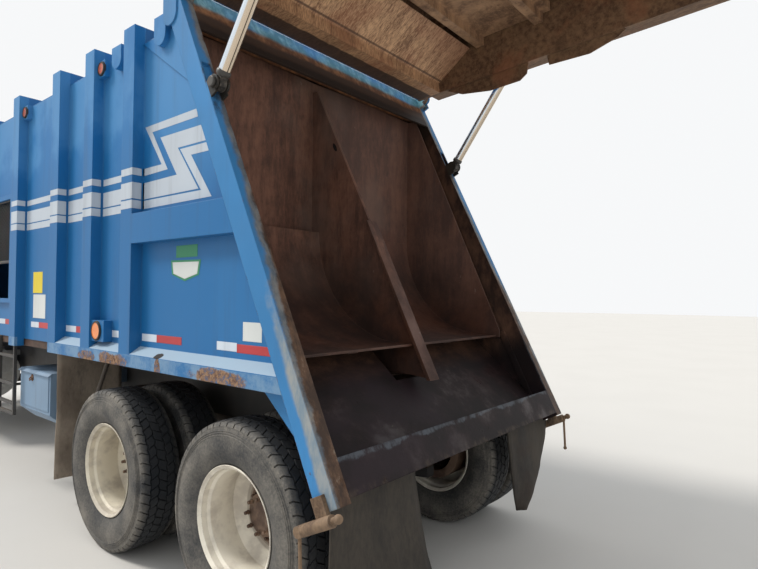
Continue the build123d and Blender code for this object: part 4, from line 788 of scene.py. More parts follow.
def cover_steel(finish):
    """The bare steel of the cover: a front face darkened as painted shadow, a pale board over a seam, and
    brown further in.
    """
    bare, marks = stained(finish)
    out, up = finish.closed_sealed()
    ragged = (finish.noise(5, 6, shift=3.0) - 0.5) * 0.05
    coarse = marks.above(0.4, 0.7)
    # The front face is near-black: a painted shadow band next to the header.
    front = out.above(0.016, 0.011) * (up + ragged).above(-0.152, -0.138)
    dark = finish.mix(coarse, (0.024, 0.012, 0.008), (0.058, 0.028, 0.018))
    bare = finish.mix(front * 0.93, bare, dark)
    near = out.above(0.34, 0.3)
    board = up.above(-0.245, -0.26) * near
    bare = finish.mix(board * marks.above(0.5, 0.72) * 0.4, bare, (0.85, 0.56, 0.34))
    corner = (out * 2.6 - finish.x * 0.55 + ragged * 6).above(0.62, 1.35) * board
    reddish = finish.mix(coarse, (0.14, 0.055, 0.035), (0.34, 0.16, 0.1))
    bare = finish.mix(corner * 0.6, bare, reddish)
    seam = up.above(-0.268, -0.26) * up.above(-0.248, -0.254) * near
    bare = finish.mix((seam * 0.8).held(), bare, (0.07, 0.03, 0.02))
    brown = finish.mix(marks.above(0.45, 0.7), (0.085, 0.042, 0.027), (0.25, 0.135, 0.08))
    return finish.mix(out.above(0.36, 0.5) * 0.55, bare, brown), marks


def gate_finish(name, outward, steel):
    """A tailgate plate: blue on what outward calls its outside, and bare steel on the rest."""
    finish = Finish(name)
    tone, rusty, film, soft, height = worn(finish, tuple(paint.body), rust=0.3, streak=0.3, dust=0.2,
                                           edge=0.7)
    outside = outward(finish)
    bare, marks = steel(finish)
    tone = finish.mix(outside, bare, tone)
    return finish.done(tone, (0.68 - outside * 0.13 + rusty * 0.25).held(), soft, height + marks, 0.0018,
                       Metallic=0.0)


# The section of the closed cover's inner line, as (y from the rear axle, z)
cover_planes = [((-0.44, 3.403), (0.147, 3.403)), ((0.147, 3.403), (0.893, 3.009)),
                ((0.893, 3.009), (1.47, 2.322)), ((1.47, 2.322), (1.708, 2.085))]


def cover_outside(finish):
    """The cover's outer skin and ribs: what lies over half the sheet beyond the section's inner line."""
    y, z = finish.closed()
    far = None
    for (y0, z0), (y1, z1) in cover_planes:
        long = math.hypot(y1 - y0, z1 - z0)
        ny, nz = (z0 - z1) / long, (y1 - y0) / long
        gap = y * ny + z * nz - (y0 * ny + z0 * nz)
        far = gap if far is None else far.most(gap)
    return far.above(0.005, 0.008)


# The blade's lowest pivot, out of the sealing plane and up along it
blade_pivot = (0.52, -2.24)


def pan_outside(finish):
    """The hopper's outer skin: what lies beyond the middle of its rolled sheet, measured from the blade's
    lowest pivot, and what stands behind it."""
    out, up = finish.closed_sealed()
    w, s = out - blade_pivot[0], up - blade_pivot[1]
    return (w * w + s * s).above(1.085 ** 2, 1.087 ** 2).most(finish.closed()[0].above(1.75, 1.76))


def side_outside(finish):
    """The outer face of a tailgate side and what stands on it, without the sealing flange's front."""
    out, _ = finish.closed_sealed()
    face = (finish.facing(0) * finish.x).above(0.3, 0.7)
    return face.most(abs(finish.x).above(1.118, 1.122) * out.above(0.045, 0.05)).held()


# The slot in the ejector's face, as (y from the rear axle, z)
ejector_slot = (-0.445, 2.74)


def ejector_finish():
    """The ejector's steel: red-brown streaks down the upright face, and nearly black below, partly grease and
    partly painted shade.
    """
    finish = Finish("ejector_steel")
    soft, rim = finish.rounded(0.006)
    streaks = finish.noise(2.2, 9, stretch=(3.5, 3.5, 0.7), rough=0.75)
    blots = finish.noise(1.5, 8, rough=0.7)
    grain = finish.noise(30, 7, stretch=(1, 1, 0.5), rough=0.75)
    wander = finish.noise(1.3, 5, shift=3.0)
    # Darker low down: partly grease, partly painted shade of the body's interior.
    low = (finish.z + (wander - 0.5) * 0.7).above(2.1, 1.5)
    tone = finish.mix((streaks * 0.55 + blots * 0.4 + grain * 0.25).above(0.48, 0.74), (0.07, 0.033, 0.024),
                      (0.25, 0.118, 0.076))
    tone = finish.mix(finish.noise(1.1, 5, shift=6.0).above(0.5, 0.66) * 0.4, tone, (0.22, 0.155, 0.125))
    tone = finish.mix(finish.noise(0.9, 6, shift=11.0).above(0.5, 0.64) * 0.6, tone, (0.13, 0.042, 0.022))
    tone = finish.mix(finish.x.above(-0.03, -0.2) * 0.3, tone, (0.17, 0.11, 0.095))
    deep = finish.mix(blots.above(0.42, 0.66), (0.024, 0.01, 0.007), (0.085, 0.031, 0.017))
    tone = finish.mix(low * 0.85, tone, deep)
    chips = finish.noise(6, 8, stretch=(1.4, 1.4, 0.8), shift=8.0, rough=0.75)
    tone = finish.mix(chips.above(0.66, 0.7) * 0.5, tone, (0.3, 0.23, 0.19))
    tone = finish.mix((rim * 0.55).held(), tone, (0.2, 0.12, 0.09))
    # The slot is painted near-black: painted shade that stands in for the dark behind the opening.
    behind, up = finish.y - (axle_rear + ejector_slot[0]), finish.z - ejector_slot[1]
    long, short = behind * 0.5 - up * 0.85, behind * 0.85 + up * 0.5
    slot = (long * long * 700 + short * short * 4500).above(1.0, 0.7) * abs(finish.x).above(0.05, 0.03)
    tone = finish.mix(slot, tone, (0.004, 0.003, 0.003))
    gleam = (0.66 + grain * 0.2 - low * blots.above(0.45, 0.7) * 0.3).held()
    height = grain * 0.5 + streaks * 0.8 + blots * low * 1.5
    return finish.done(tone, gleam, soft, height, 0.0022, Metallic=0.1)


def tread_finish():
    """Tyre rubber: blue-black on the tread, and dusty tan on the sidewalls."""
    finish = Finish("tyre_rubber")
    cross = finish.node("ShaderNodeAttribute", {"attribute_name": "wall"}, out=2)
    cloud = finish.noise(5, 6)
    fine = finish.noise(70, 4, rough=0.7)
    film = ((cloud * 0.45 + fine * 0.3).above(0.2, 0.62) * (cross * 0.82 + 0.08)).held()
    tone = finish.mix(film, (0.015, 0.018, 0.023), (0.35, 0.315, 0.265))
    return finish.done(tone, (0.6 + film * 0.3).held(), None, fine * 0.3 + cloud * 0.4, 0.0008, Metallic=0.0,
                       Specular_IOR_Level=0.4)


def flap_finish():
    """Rubber of the mud flaps under dried mud, paler on the front pair."""
    finish = Finish("flap_rubber")
    cloud = finish.noise(3.0, 7, stretch=(1, 1, 0.5), rough=0.68)
    fine = finish.noise(52, 5, stretch=(1, 1, 0.35), rough=0.75)
    front = (finish.y - axle_rear).above(-1.4, -1.6)
    mud = finish.mix(front, (0.1, 0.084, 0.066), (0.32, 0.265, 0.21))
    film = ((cloud * 0.8 + fine * 0.45 + front * 0.16).above(0.42, 0.84) * (front * 0.35 + 0.62)).held()
    tone = finish.mix(film, (0.026, 0.023, 0.021), mud)
    brown = finish.noise(1.7, 6, shift=4.0).above(0.52, 0.68)
    tone = finish.mix(brown * 0.45, tone, (0.045, 0.025, 0.016))
    return finish.done(tone, (0.7 + film * 0.25).held(), None, fine * 0.5 + cloud * 1.2, 0.0014, Metallic=0.0,
                       Specular_IOR_Level=0.3)


def rim_finish():
    """Cream rim paint with brake dust on the disc, brown at the hub, and rust spots."""
    finish = Finish("rim_paint")
    soft, edge = finish.rounded(0.003)
    cloud = finish.noise(7, 6)
    part = finish.node("ShaderNodeAttribute", {"attribute_name": "hub"}, out=2)
    tone = finish.mix(cloud.above(0.38, 0.66), (0.74, 0.68, 0.55), (0.46, 0.41, 0.34))
    rear = (finish.y - axle_rear).above(-0.75, -0.6)
    patchy = cloud.above(0.4, 0.6)
    tone = finish.mix(rear * 0.45, tone, finish.mix(patchy, (0.92, 0.88, 0.8), (0.7, 0.65, 0.58)))
    tone = finish.mix(part.above(0.3, 0.5) * 0.85, tone, (0.2, 0.16, 0.13))
    tone = finish.mix(part.above(0.6, 0.8), tone, finish.mix(patchy, (0.08, 0.045, 0.03), (0.2, 0.13, 0.09)))
    spots = finish.noise(26, 7, rough=0.7)
    tone = finish.mix((spots + edge * 0.2).above(0.68, 0.76), tone, (0.13, 0.06, 0.03))
    return finish.done(tone, (0.45 + spots * 0.3).held(), soft, spots * 0.4, 0.0008, Metallic=0.1)


# Plain paints of the tape and the blank labels, as (colour, gloss, dust)
label_paints = {
    "tape_white": ((0.56, 0.62, 0.7), 0.6, 0.1),
    "tape_red": ((0.42, 0.03, 0.035), 0.6, 0.15),
    "label_white": ((0.6, 0.62, 0.6), 0.5, 0.1),
    "label_yellow": ((0.72, 0.55, 0.03), 0.5, 0.1),
    "label_green": ((0.03, 0.23, 0.11), 0.5, 0.1),
}


def make_finishes():
    """Every finish of the truck, by name."""
    body = tuple(paint.body)
    glossy = {"colour": tuple(paint.cab), "gloss": 0.72, "rust": 0.02, "streak": 0.12, "dust": 0.15,
              "fade": 0.2, "edge": 0.2}
    finishes.update(
        body=body_finish(),
        roof=painted("roof_paint", body, gloss=0.45, under=(0.035, 0.02, 0.014), rust=0.2, streak=0.15,
                     dust=0.35, fade=0.5),
        door=painted("door_paint", beyond=1.034, **glossy),
        cab=painted("cab_paint", **glossy),
        box=painted("box_paint", (0.16, 0.245, 0.35), gloss=0.45, rust=0.12, streak=0.35, dust=0.3),
        black=oily("frame_black", (0.028, 0.027, 0.027)),
        cast=oily("cast_iron", (0.07, 0.055, 0.045), dust=0.6, rough=0.65, metal=0.2),
        rear=rear_frame_finish(),
        floor=plate("floor_steel", (0.12, 0.07, 0.05), (0.035, 0.022, 0.018), stretch=(2, 0.6, 2)),
        ejector=ejector_finish(),
        packer=plate("packer_steel", (0.46, 0.28, 0.16), (0.13, 0.07, 0.042), metal=0.1, polish=0.2),
        gate_side=gate_finish("gate_side", side_outside, shaded_stained_steel),
        gate_cover=gate_finish("gate_cover", cover_outside, cover_steel),
        gate_pan=gate_finish("gate_pan", pan_outside, shaded_stained_steel),
        chrome=bright("chrome", (0.56, 0.56, 0.56), rough=0.14),
        alloy=bright("alloy", (0.62, 0.62, 0.6), rough=0.34, stain=0.4),
        steel=bright("plain_steel", (0.36, 0.34, 0.32), rough=0.45, stain=0.6),
        barrel=painted("barrel_paint", (0.5, 0.5, 0.48), gloss=0.5, rust=0.1, streak=0.35, dust=0.1),
        engine=oily("engine_paint", (0.12, 0.12, 0.12), dust=0.4),
        rubber=flap_finish(),
        rod=rod_finish(),
        mirror=bright("mirror_glass", (0.82, 0.84, 0.85), rough=0.03, stain=0.06),
        grease=oily("greasy_steel", (0.035, 0.033, 0.03), dust=0.35, rough=0.45),
        clamp=plate("clamp_steel", (0.25, 0.165, 0.1), (0.085, 0.05, 0.03), metal=0.0, rough=0.8, scale=2.5),
        rusty=plate("rusty_steel", (0.22, 0.11, 0.055), (0.07, 0.032, 0.018), metal=0.1, rough=0.75),
        seal=rubbery("seal_rubber", (0.012, 0.012, 0.013), dust=0.12),
        plastic=rubbery("black_plastic", (0.022, 0.022, 0.024), dust=0.15),
        vinyl=rubbery("vinyl", (0.07, 0.068, 0.07), dust=0.12),
        tyre=tread_finish(),
        rim=rim_finish(),
        amber=lens("amber_lens", (0.62, 0.14, 0.012), glow=0.1),
        side_amber=lens("side_lens", (0.8, 0.2, 0.01), glow=0.12, high=(0.5, 0.13, 0.09)),
        red=lens("red_lens", (0.42, 0.012, 0.01), glow=0.06),
        clear=lens("clear_lens", (0.75, 0.76, 0.78), clear=0.35),
        glass=glass(),
        stripe=painted("stripe_paint", tuple(paint.stripe), gloss=0.5, rust=0.02, streak=0.25, dust=0.12,
                       fade=0.15, edge=0.05),
    )
    for name, (colour, gloss, dust) in label_paints.items():
        finishes[name] = painted(name, colour, gloss=gloss, rust=0.0, streak=0.2, dust=dust)


class TRUCK_OT_finishes(bpy.types.Operator):
    """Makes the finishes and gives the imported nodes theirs"""

    bl_idname = "truck.finishes"
    bl_label = "Paint the packed parts"

    def execute(self, context):
        global paint
        paint = context.scene.truck_paint
        make_finishes()
        table = {
            "body": ["body_side_left", "body_side_right", "body_front_wall"],
            "side_amber": ["side_lamps"],
            "roof": ["body_roof"],
            "rear": ["rear_frame"],
            "floor": ["body_floor"],
            "ejector": ["ejector_panel"],
            "gate_side": ["tailgate_side_left", "tailgate_side_right"],
            "gate_cover": ["tailgate_cover"],
            "gate_pan": ["hopper_pan"],
            "packer": ["packer_carriage", "sweep_blade"],
            "barrel": ["lift_barrel_left", "lift_barrel_right", "sweep_barrels"],
            "rod": ["lift_rod_left", "lift_rod_right"],
            "chrome": ["sweep_rods", "front_bumper", "exhaust_stack"],
            "cab": ["cab_shell", "hood"],
            "door": ["door_left", "door_right"],
            "box": ["tool_box"],
            "black": ["frame_rails", "suspension", "side_ladder", "battery_box", "hydraulic_tank"],
            "clamp": ["turnbuckles"],
            "cast": ["front_axle", "knuckle_left", "knuckle_right", "tie_rod", "drive_axles", "driveline"],
            "engine": ["engine_block", "radiator"],
            "alloy": ["fuel_tank"],
            "vinyl": ["seats"],
            "plastic": ["dashboard"],
            "red": ["tail_lamps"],
            "clear": ["head_lamps"],
        }
        for key, nodes in table.items():
            for node in nodes:
                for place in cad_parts[node].material_slots:
                    place.material = finishes[key]
        return {"FINISHED"}


class TRUCK_OT_stage(bpy.types.Operator):
    """Sets the camera at the photograph's view, the pale floor and the soft light"""

    bl_idname = "truck.stage"
    bl_label = "Camera, light and floor"

    def execute(self, context):
        stage = context.scene.truck_stage
        yaw, pitch, roll = (math.radians(a) for a in (stage.yaw, stage.pitch, stage.roll))
        look = Vector((-math.sin(yaw) * math.cos(pitch), -math.cos(yaw) * math.cos(pitch), math.sin(pitch)))
        right = look.cross(Vector((0, 0, 1))).normalized()
        up = right.cross(look)
        turned_right = math.cos(roll) * right + math.sin(roll) * up
        turned_up = math.cos(roll) * up - math.sin(roll) * right
        camera = bpy.data.objects.new("camera", bpy.data.cameras.new("camera"))
        camera.data.lens = stage.lens
        camera.data.sensor_width = 36
        camera.data.clip_end = 200
        spin = Matrix((turned_right, turned_up, -look)).transposed().to_4x4()
        place = Vector((stage.place[0], stage.place[1] + axle_rear, stage.place[2]))
        camera.matrix_world = Matrix.Translation(place) @ spin
        context.scene.collection.objects.link(camera)
        context.scene.camera = camera

        finish = Finish("floor")
        tone = finish.mix(finish.noise(0.7, 5).above(0.35, 0.7) * 0.12, tuple(stage.floor), (0.5, 0.48, 0.45))
        shader = finish.node("ShaderNodeBsdfPrincipled", {}, Base_Color=tone, Roughness=0.9)
        finish.node("ShaderNodeOutputMaterial", {}, shader)
        ring = np.linspace(0, 2 * math.pi, 65)[:-1]
        radius = along([0.01, 8, 20, 60])[:, None]
        points = np.stack([radius * np.cos(ring), radius * np.sin(ring), np.full((4, 64), floor_z)], -1)
        floor = Form().grid(points, around=True)
        mesh = bpy.data.meshes.new("floor")
        mesh.from_pydata(np.concatenate(floor.points).tolist(), [], floor.faces)
        mesh.materials.append(finish.material)
        ground = bpy.data.objects.new("floor", mesh)
        context.scene.collection.objects.link(ground)

        world = bpy.data.worlds.new("studio")
        world.use_nodes = True
        tree = world.node_tree
        tree.nodes.clear()
        path = tree.nodes.new("ShaderNodeLightPath")
        coords = tree.nodes.new("ShaderNodeTexCoord")
        parts = tree.nodes.new("ShaderNodeSeparateXYZ")
        sky = tree.nodes.new("ShaderNodeMapRange")
        light = tree.nodes.new("ShaderNodeBackground")
        plain = tree.nodes.new("ShaderNodeBackground")
        blend = tree.nodes.new("ShaderNodeMixShader")
        output = tree.nodes.new("ShaderNodeOutputWorld")
        # The sky's strength goes from 0.45 under the horizon to 0.95 well over it
        for index, value in enumerate((-0.1, 0.6, 0.45, 0.95), 1):
            sky.inputs[index].default_value = value
        plain.inputs[0].default_value = (0.93, 0.94, 0.95, 1)
        light.inputs[0].default_value = (0.95, 0.98, 1.0, 1)
        links = tree.links
        links.new(coords.outputs["Generated"], parts.inputs[0])
        links.new(parts.outputs[2], sky.inputs[0])
        links.new(sky.outputs[0], light.inputs[1])
        seen = path.outputs["Is Camera Ray"]
        for kind in ("Is Glossy Ray", "Is Transmission Ray"):
            more = tree.nodes.new("ShaderNodeMath")
            more.operation = "MAXIMUM"
            links.new(seen, more.inputs[0])
            links.new(path.outputs[kind], more.inputs[1])
            seen = more.outputs[0]
        links.new(seen, blend.inputs[0])
        links.new(light.outputs[0], blend.inputs[1])
        links.new(plain.outputs[0], blend.inputs[2])
        links.new(blend.outputs[0], output.inputs[0])
        context.scene.world = world

        lamp = bpy.data.lights.new("sun", "SUN")
        lamp.energy = 2.5
        lamp.angle = math.radians(14)
        lamp.color = (1.0, 0.97, 0.92)
        sun = bpy.data.objects.new("sun", lamp)
        sun.rotation_mode = "QUATERNION"
        sun.rotation_quaternion = Vector((-0.42, 0.62, -0.78)).to_track_quat("-Z", "Y")
        context.scene.collection.objects.link(sun)
        context.scene.view_settings.view_transform = "Standard"
        return {"FINISHED"}


# Side stripes, tape and labels: how far the stripes and the back of the tape lie out of the panels, and how
# thick the tape and the shield are
stripe_lift = 0.0009
tape_back = 0.0002
tape_thick = 0.0008
shield_thick = 0.0014


def side_paths(start, end):
    """Plan lines on the left side's outer skin from start to end: each goes round a rib and stops at the seam
    behind it."""
    lift = stripe_lift
    paths = []
    path = [(sheet_x + lift, start)]
    for row in sorted(rib_rows):
        if start < row < end:
            back = row + rib_half + lift
            path += [(sheet_x + lift, row - rib_half - lift), (rib_x + lift, row - rib_half - lift),
                     (rib_x + lift, back), (sheet_x + 0.012, back)]
            paths.append(path)
            path = [(sheet_x + lift, back + 0.014)]
    path.append((sheet_x + lift, end))
    paths.append(path)
    return [along(line) + along([0, axle_rear]) for line in paths]


# Heights of the straight stripes, and outlines of the zigzags as (y from the rear axle, z)
bands = [(2.405, 2.45), (2.257, 2.359), (2.196, 2.248)]
zigzags = [
    [(-1.02, 2.45), (-0.8, 2.45), (-1.004, 2.711), (-0.429, 2.713), (-0.418, 2.665), (-0.915, 2.666),
     (-0.73, 2.41), (-1.02, 2.405)],
    [(-1.02, 2.359), (-0.629, 2.364), (-0.819, 2.616), (-0.386, 2.612), (-0.334, 2.517), (-0.621, 2.521),
     (-0.402, 2.256), (-1.02, 2.257)],
    [(-1.02, 2.248), (-0.376, 2.245), (-0.597, 2.509), (-0.328, 2.505), (-0.303, 2.455), (-0.48, 2.458),
     (-0.273, 2.199), (-1.02, 2.196)],
]


def flat_strip(form, low_edge, high_edge, x):
    """A ribbon between two lines of (y, z) on an upright plane."""
    points = np.zeros((2, len(low_edge), 3))
    points[..., 0] = x
    points[0, :, 1:] = along(low_edge)
    points[1, :, 1:] = along(high_edge)
    points[..., 1] += axle_rear
    form.grid(points)


class TRUCK_OT_stripes(bpy.types.Operator):
    """Lays the white stripes round the ribs and in a zigzag at the back of both sides"""

    bl_idname = "truck.stripes"
    bl_label = "Side stripes"

    def execute(self, context):
        for side, sign in sides:
            form = Form()
            for low, high in bands:
                spans = [(-3.31, -1.02), (-4.56, -3.94)] if side == "left" else [(-4.56, -1.02)]
                for start, end in spans:
                    for line in side_paths(start, end):
                        form.strip(line, low, high)
            for line in zigzags:
                flat_strip(form, line[:3:-1], line[:4], sheet_x + stripe_lift)
            form.sided(sign).piece("stripes_" + side, "truck", "body_blue", finishes["stripe"])
        return {"FINISHED"}


# Tape and blank labels, each as (finish, y from, y to, z from, z to) from the rear axle
tape_rows = [
    ("tape_white", -0.999, -0.824, 1.37, 1.416), ("tape_red", -0.824, -0.548, 1.37, 1.416),
    ("tape_white", -0.204, -0.029, 1.37, 1.416), ("tape_red", -0.029, 0.248, 1.366, 1.411),
    ("tape_white", -1.44, -1.3, 1.372, 1.417),
    ("tape_white", -2.15, -1.97, 1.374, 1.42), ("tape_red", -1.97, -1.88, 1.374, 1.42),
    ("tape_white", -2.86, -2.69, 1.376, 1.422), ("tape_red", -2.69, -2.5, 1.376, 1.422),
    ("tape_white", -3.66, -3.49, 1.376, 1.422), ("tape_red", -3.49, -3.22, 1.376, 1.422),
    ("label_white", 0.02, 0.171, 1.429, 1.526), ("label_yellow", -2.83, -2.63, 1.66, 1.835),
    ("label_white", -2.82, -2.56, 1.454, 1.649), ("label_green", -0.62, -0.4, 1.875, 1.945),
]
# The outline of the shield under the green label, as (y from the rear axle, z)
shield = [(-0.676, 1.862), (-0.365, 1.858), (-0.383, 1.773), (-0.526, 1.738), (-0.662, 1.778)]


class TRUCK_OT_labels(bpy.types.Operator):
    """Sticks reflective tape and blank labels on the sides"""

    bl_idname = "truck.labels"
    bl_label = "Tape and blank labels"

    def execute(self, context):
        kinds = list(label_paints)
        x = sheet_x + tape_back
        for side, sign in sides:
            form = Form()
            shown = [row for row in tape_rows if sign > 0 or row[0].startswith("tape")]
            for kind, y0, y1, z0, z1 in shown:
                form.colour = kinds.index(kind)
                form.box((x, y0 + axle_rear, z0), (x + tape_thick, y1 + axle_rear, z1))
            if sign > 0:
                form.colour = kinds.index("label_green")
                line = along(shield) + along([axle_rear, 0])
                form.prism(line, x, x + tape_thick)
                form.colour = kinds.index("label_white")
                centre = line.mean(0)
                form.prism(centre + (line - centre) * along([0.88, 0.8]), x, x + shield_thick)
            form.sided(sign).piece("labels_" + side, "truck", "body_blue", [finishes[k] for k in kinds])
        return {"FINISHED"}


# Tyres
def tyre_surface(wheels, steer):
    """One tyre about the origin, as a (round, across, 3) array and a sidewall mask of the same shape.
    Across, the section goes from one sidewall over the tread to the other. Round it, eight rows make a pitch,
    and two of them at a time drop to a cross groove, so that blocks of neighbouring ribs are staggered."""
    half = wheels.width / 2
    top = wheels.outer
    bead = wheels.bead
    # The sidewall from bead to shoulder, as (distance in from the half width, radius)
    wall = along([(0.042, bead), (0.04, bead + 0.014), (0.03, bead + 0.02), (0.012, bead + 0.055),
                  (0.003, bead + 0.085), (0, 0.405), (0.0015, 0.43), (0.0035, 0.452), (0.0015, 0.4545),
                  (0.005, 0.457), (0.006, 0.463), (0.0035, 0.4655), (0.008, 0.468), (0.009, 0.474),
                  (0.0065, 0.4765), (0.011, 0.479), (0.013, 0.487), (0.0145, 0.494), (0.0135, 0.498),
                  (0.017, 0.505), (0.022, top - 0.0125)])
    wall[:, 0] = half - wall[:, 0]
    shoulder = half - 0.026
    if steer:
        grooves = [-0.082, -0.041, 0.0, 0.041, 0.082]
        gap, zig, cross_depth, lean, notch_share = 0.0055, 0.003, 0.35, 0.004, 0.4
    else:
        grooves = [-0.078, -0.028, 0.028, 0.078]
        gap, zig, cross_depth, lean, notch_share = 0.0048, 0.0065, 0.8, 0.012, 1.0
    cells = [-shoulder]
    drop = [0.0]
    ribs = [0]
    for i, g in enumerate(grooves):
        cells += [g - gap, g - gap * 0.6, g + gap * 0.6, g + gap]
        drop += [0.0, 1.0, 1.0, 0.0]
        ribs += [i, -1, -1, i + 1]
    cells, drop, ribs = along(cells + [shoulder]), along(drop + [0.0]), along(ribs + [len(grooves)])
    pitches = wheels.pitches
    share = along([0.0, 0.035, 0.13, 0.165, 0.5, 0.535, 0.63, 0.665])
    row = (np.arange(pitches)[:, None] + share).reshape(-1) / pitches * 2 * math.pi
    kind = np.tile(np.arange(8), pitches)
    slot_a = np.isin(kind, [1, 2]).astype(float)[:, None]
    slot_b = np.isin(kind, [5, 6]).astype(float)[:, None]
    wave = 1 - 4 * np.abs((row / (2 * math.pi) * pitches + 0.08) % 1 - 0.5)
    deep = wheels.depth
    crown = top - 0.004 * (cells / shoulder) ** 2 - 0.007 * np.clip(np.abs(cells) / shoulder - 0.72, 0, 1) * 3
    x = cells + zig * wave[:, None] * (drop + (np.abs(cells) < shoulder - 0.001) > 0)
    cut = slot_a * ((ribs % 2 == 0) & (ribs >= 0)) + slot_b * (ribs % 2 == 1)
    r = crown - deep * np.maximum(drop, cut * cross_depth)
    angle = row[:, None] + lean * np.sin(cells / shoulder * 7) / top
    tread = np.stack([x, r, angle], -1)
    right = np.zeros((len(row), len(wall), 3))
    right[..., :2] = wall
    right[..., 2] = angle[:, -1:]
    notch = smooth_step((wall[:, 1] - 0.497) / 0.01)
    right[..., 1] -= notch * deep * 0.6 * slot_a * notch_share
    right[..., 0] -= notch * 0.006 * slot_a
    left = right[:, ::-1] * along([-1, 1, 1])
    left[..., 2] = angle[:, :1]
    x, r, a = np.moveaxis(np.concatenate([left, tread, right[:, ::-1]], 1), 2, 0)
    shade = np.interp(wall[:, 1], [0.29, 0.36, 0.41, 0.45, 0.458, 0.466, 0.47, 0.478, 0.49, 0.52],
                      [0.42, 0.55, 0.78, 0.8, 1.0, 0.7, 1.0, 0.75, 1.0, 1.0])
    mask = np.concatenate([shade, np.zeros(len(cells)), shade[::-1]])
    mask[[len(wall) - 1, len(wall), -len(wall), -len(wall) - 1]] = 0.75
    points = np.stack([x, r * np.cos(a), r * np.sin(a)], -1)
    return points, np.broadcast_to(mask, points.shape[:2])


def spin(points, turn):
    """Points turned about X."""
    c, s = math.cos(turn), math.sin(turn)
    return points @ np.array([[1, 0, 0], [0, c, s], [0, -s, c]])


def tyre_piece(form, name, body, marks):
    """One mesh of tyres about one axis, without merging, so that marks stay in order. Its faces are turned if
    those of the crown point inwards."""
    co = np.concatenate(form.points)
    faces = np.array(form.faces)
    a, b, c = (co[faces[:, i]] for i in range(3))
    across = (a - co.mean(0))[:, 1:]
    crown = np.linalg.norm(across, axis=1) > 0.48
    normal = np.cross(b - a, c - a)[:, 1:]
    if np.sum(normal[crown] * across[crown]) < 0:
        faces = faces[:, ::-1]
    mesh = bpy.data.meshes.new(name)
    mesh.from_pydata(co.tolist(), [], faces.tolist())
    store(mesh, "wall", marks)
    thing = placed(name, mesh, finishes["tyre"], 30)
    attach(thing, body)
    return thing


# Each wheel body with its tyres, its rims, its side and its axle
wheel_sets = [("twin_wheel_" + a + "_" + s, "twin_tyres_" + a + "_" + s, "twin_rims_" + a + "_" + s, sign, y)
              for a, y in (("front", axle_front), ("rear", axle_rear)) for s, sign in sides]
steer_sets = [("steer_wheel_" + s, "steer_tyre_" + s, "steer_rim_" + s, sign, axle_steer)
              for s, sign in sides]


class TRUCK_OT_tyres(bpy.types.Operator):
    """Replaces the plain tyres by treaded ones"""

    bl_idname = "truck.tyres"
    bl_label = "Tyres"

    def execute(self, context):
        wheels = context.scene.truck_wheels
        turn = 0.0
        for steer, group in ((False, wheel_sets), (True, steer_sets)):
            points, mask = tyre_surface(wheels, steer)
            places = (steer_place,) if steer else twin_places
            for body, tyre, rim, sign, y in group:
                form = Form()
                for x in places:
                    turn += 0.37
                    form.grid(spin(points, turn) + along([sign * x, y, wheel_z]), around=True, along_too=True)
                piece = tyre_piece(form, tyre + "_treaded", body, [mask] * len(places))
                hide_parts(tyre)
        return {"FINISHED"}


# Rims, from the middle of the tyre: half a rim's width, and the disc's face on a steer and on a twin wheel
rim_half = 0.115
steer_face = 0.118
twin_face = -0.1555
twin_disc = [(-0.098, 0.276), (-0.112, 0.268), (-0.138, 0.245), (-0.152, 0.215), (twin_face, 0.2),
             (twin_face, 0.176), (-0.15, 0.172), (-0.15, 0.114), (-0.085, 0.112), (-0.075, 0.1),
             (-0.063, 0.062), (-0.063, 0.0)]
# The steer wheel's disc is drawn from its face, and the lip inwards from the rim's outer edge
steer_disc = [(-0.07, 0.276), (-0.035, 0.262), (-0.012, 0.235), (0, 0.2), (0, 0.165), (-0.004, 0.15),
              (0, 0.14), (0.002, 0.085), (0.035, 0.08), (0.045, 0.06), (0.046, 0.0)]
rim_lip = [(0.02, 0.291), (0.012, 0.2935), (0.009, 0.301), (0.002, 0.3035), (-0.001, 0.3), (0.002, 0.295),
           (0.01, 0.289), (0.014, 0.282), (0.045, 0.279), (0.06, 0.268), (0.1, 0.264), (0.15, 0.27)]
# Brake drums behind the rims, as (x, radius)
twin_drum = [(0.64, 0.15), (0.64, 0.208), (0.86, 0.208), (0.89, 0.16), (0.905, 0.15)]
steer_drum = [(0.985, 0.14), (0.985, 0.2), (1.105, 0.2), (1.12, 0.15), (1.13, 0.14)]
# The hub mark of nuts, drums and the middle of the disc
hub_mark = 0.9


def rim_profile(centre, sign, steer):
    """A deep dish as (distance along x, radius), with hub marks: lip, barrel, drop centre, disc and hub."""
    disc = [(steer_face + x, r) for x, r in steer_disc] if steer else twin_disc
    barrel = [(-rim_half + x, r) for x, r in ((0, 0.3), (0.004, 0.303), (0.01, 0.3), (0.012, 0.291))]
    barrel += [(rim_half - x, r) for x, r in rim_lip]
    marks = [0.0] * (len(barrel) + 3) + [0.42] * (len(disc) - 3)
    for i, (x, r) in enumerate(disc):
        if r < 0.18:
            marks[len(barrel) + i] = hub_mark
    return along(barrel + disc) * along([sign, 1]) + along([centre, 0]), marks


def studs(form, x, sign, radius, count, y, size=0.0165, height=0.028, turn=0.0):
    """Wheel nuts: hexagons with a stud end, on a circle."""
    line = [(-0.002, 0.0), (-0.002, size * 1.25), (0.006, size * 1.25), (0.007, size), (height * 0.8, size),
            (height, size * 0.8), (height, 0.010), (height + 0.012, 0.0095), (height + 0.012, 0.0)]
    line = along(line) * along([sign, 1]) + along([x, 0])
    for i in range(count):
        a = turn + 2 * math.pi * i / count
        centre = (0, y + radius * math.cos(a), wheel_z + radius * math.sin(a))
        form.turned(line, centre, steps=6, closed=False)


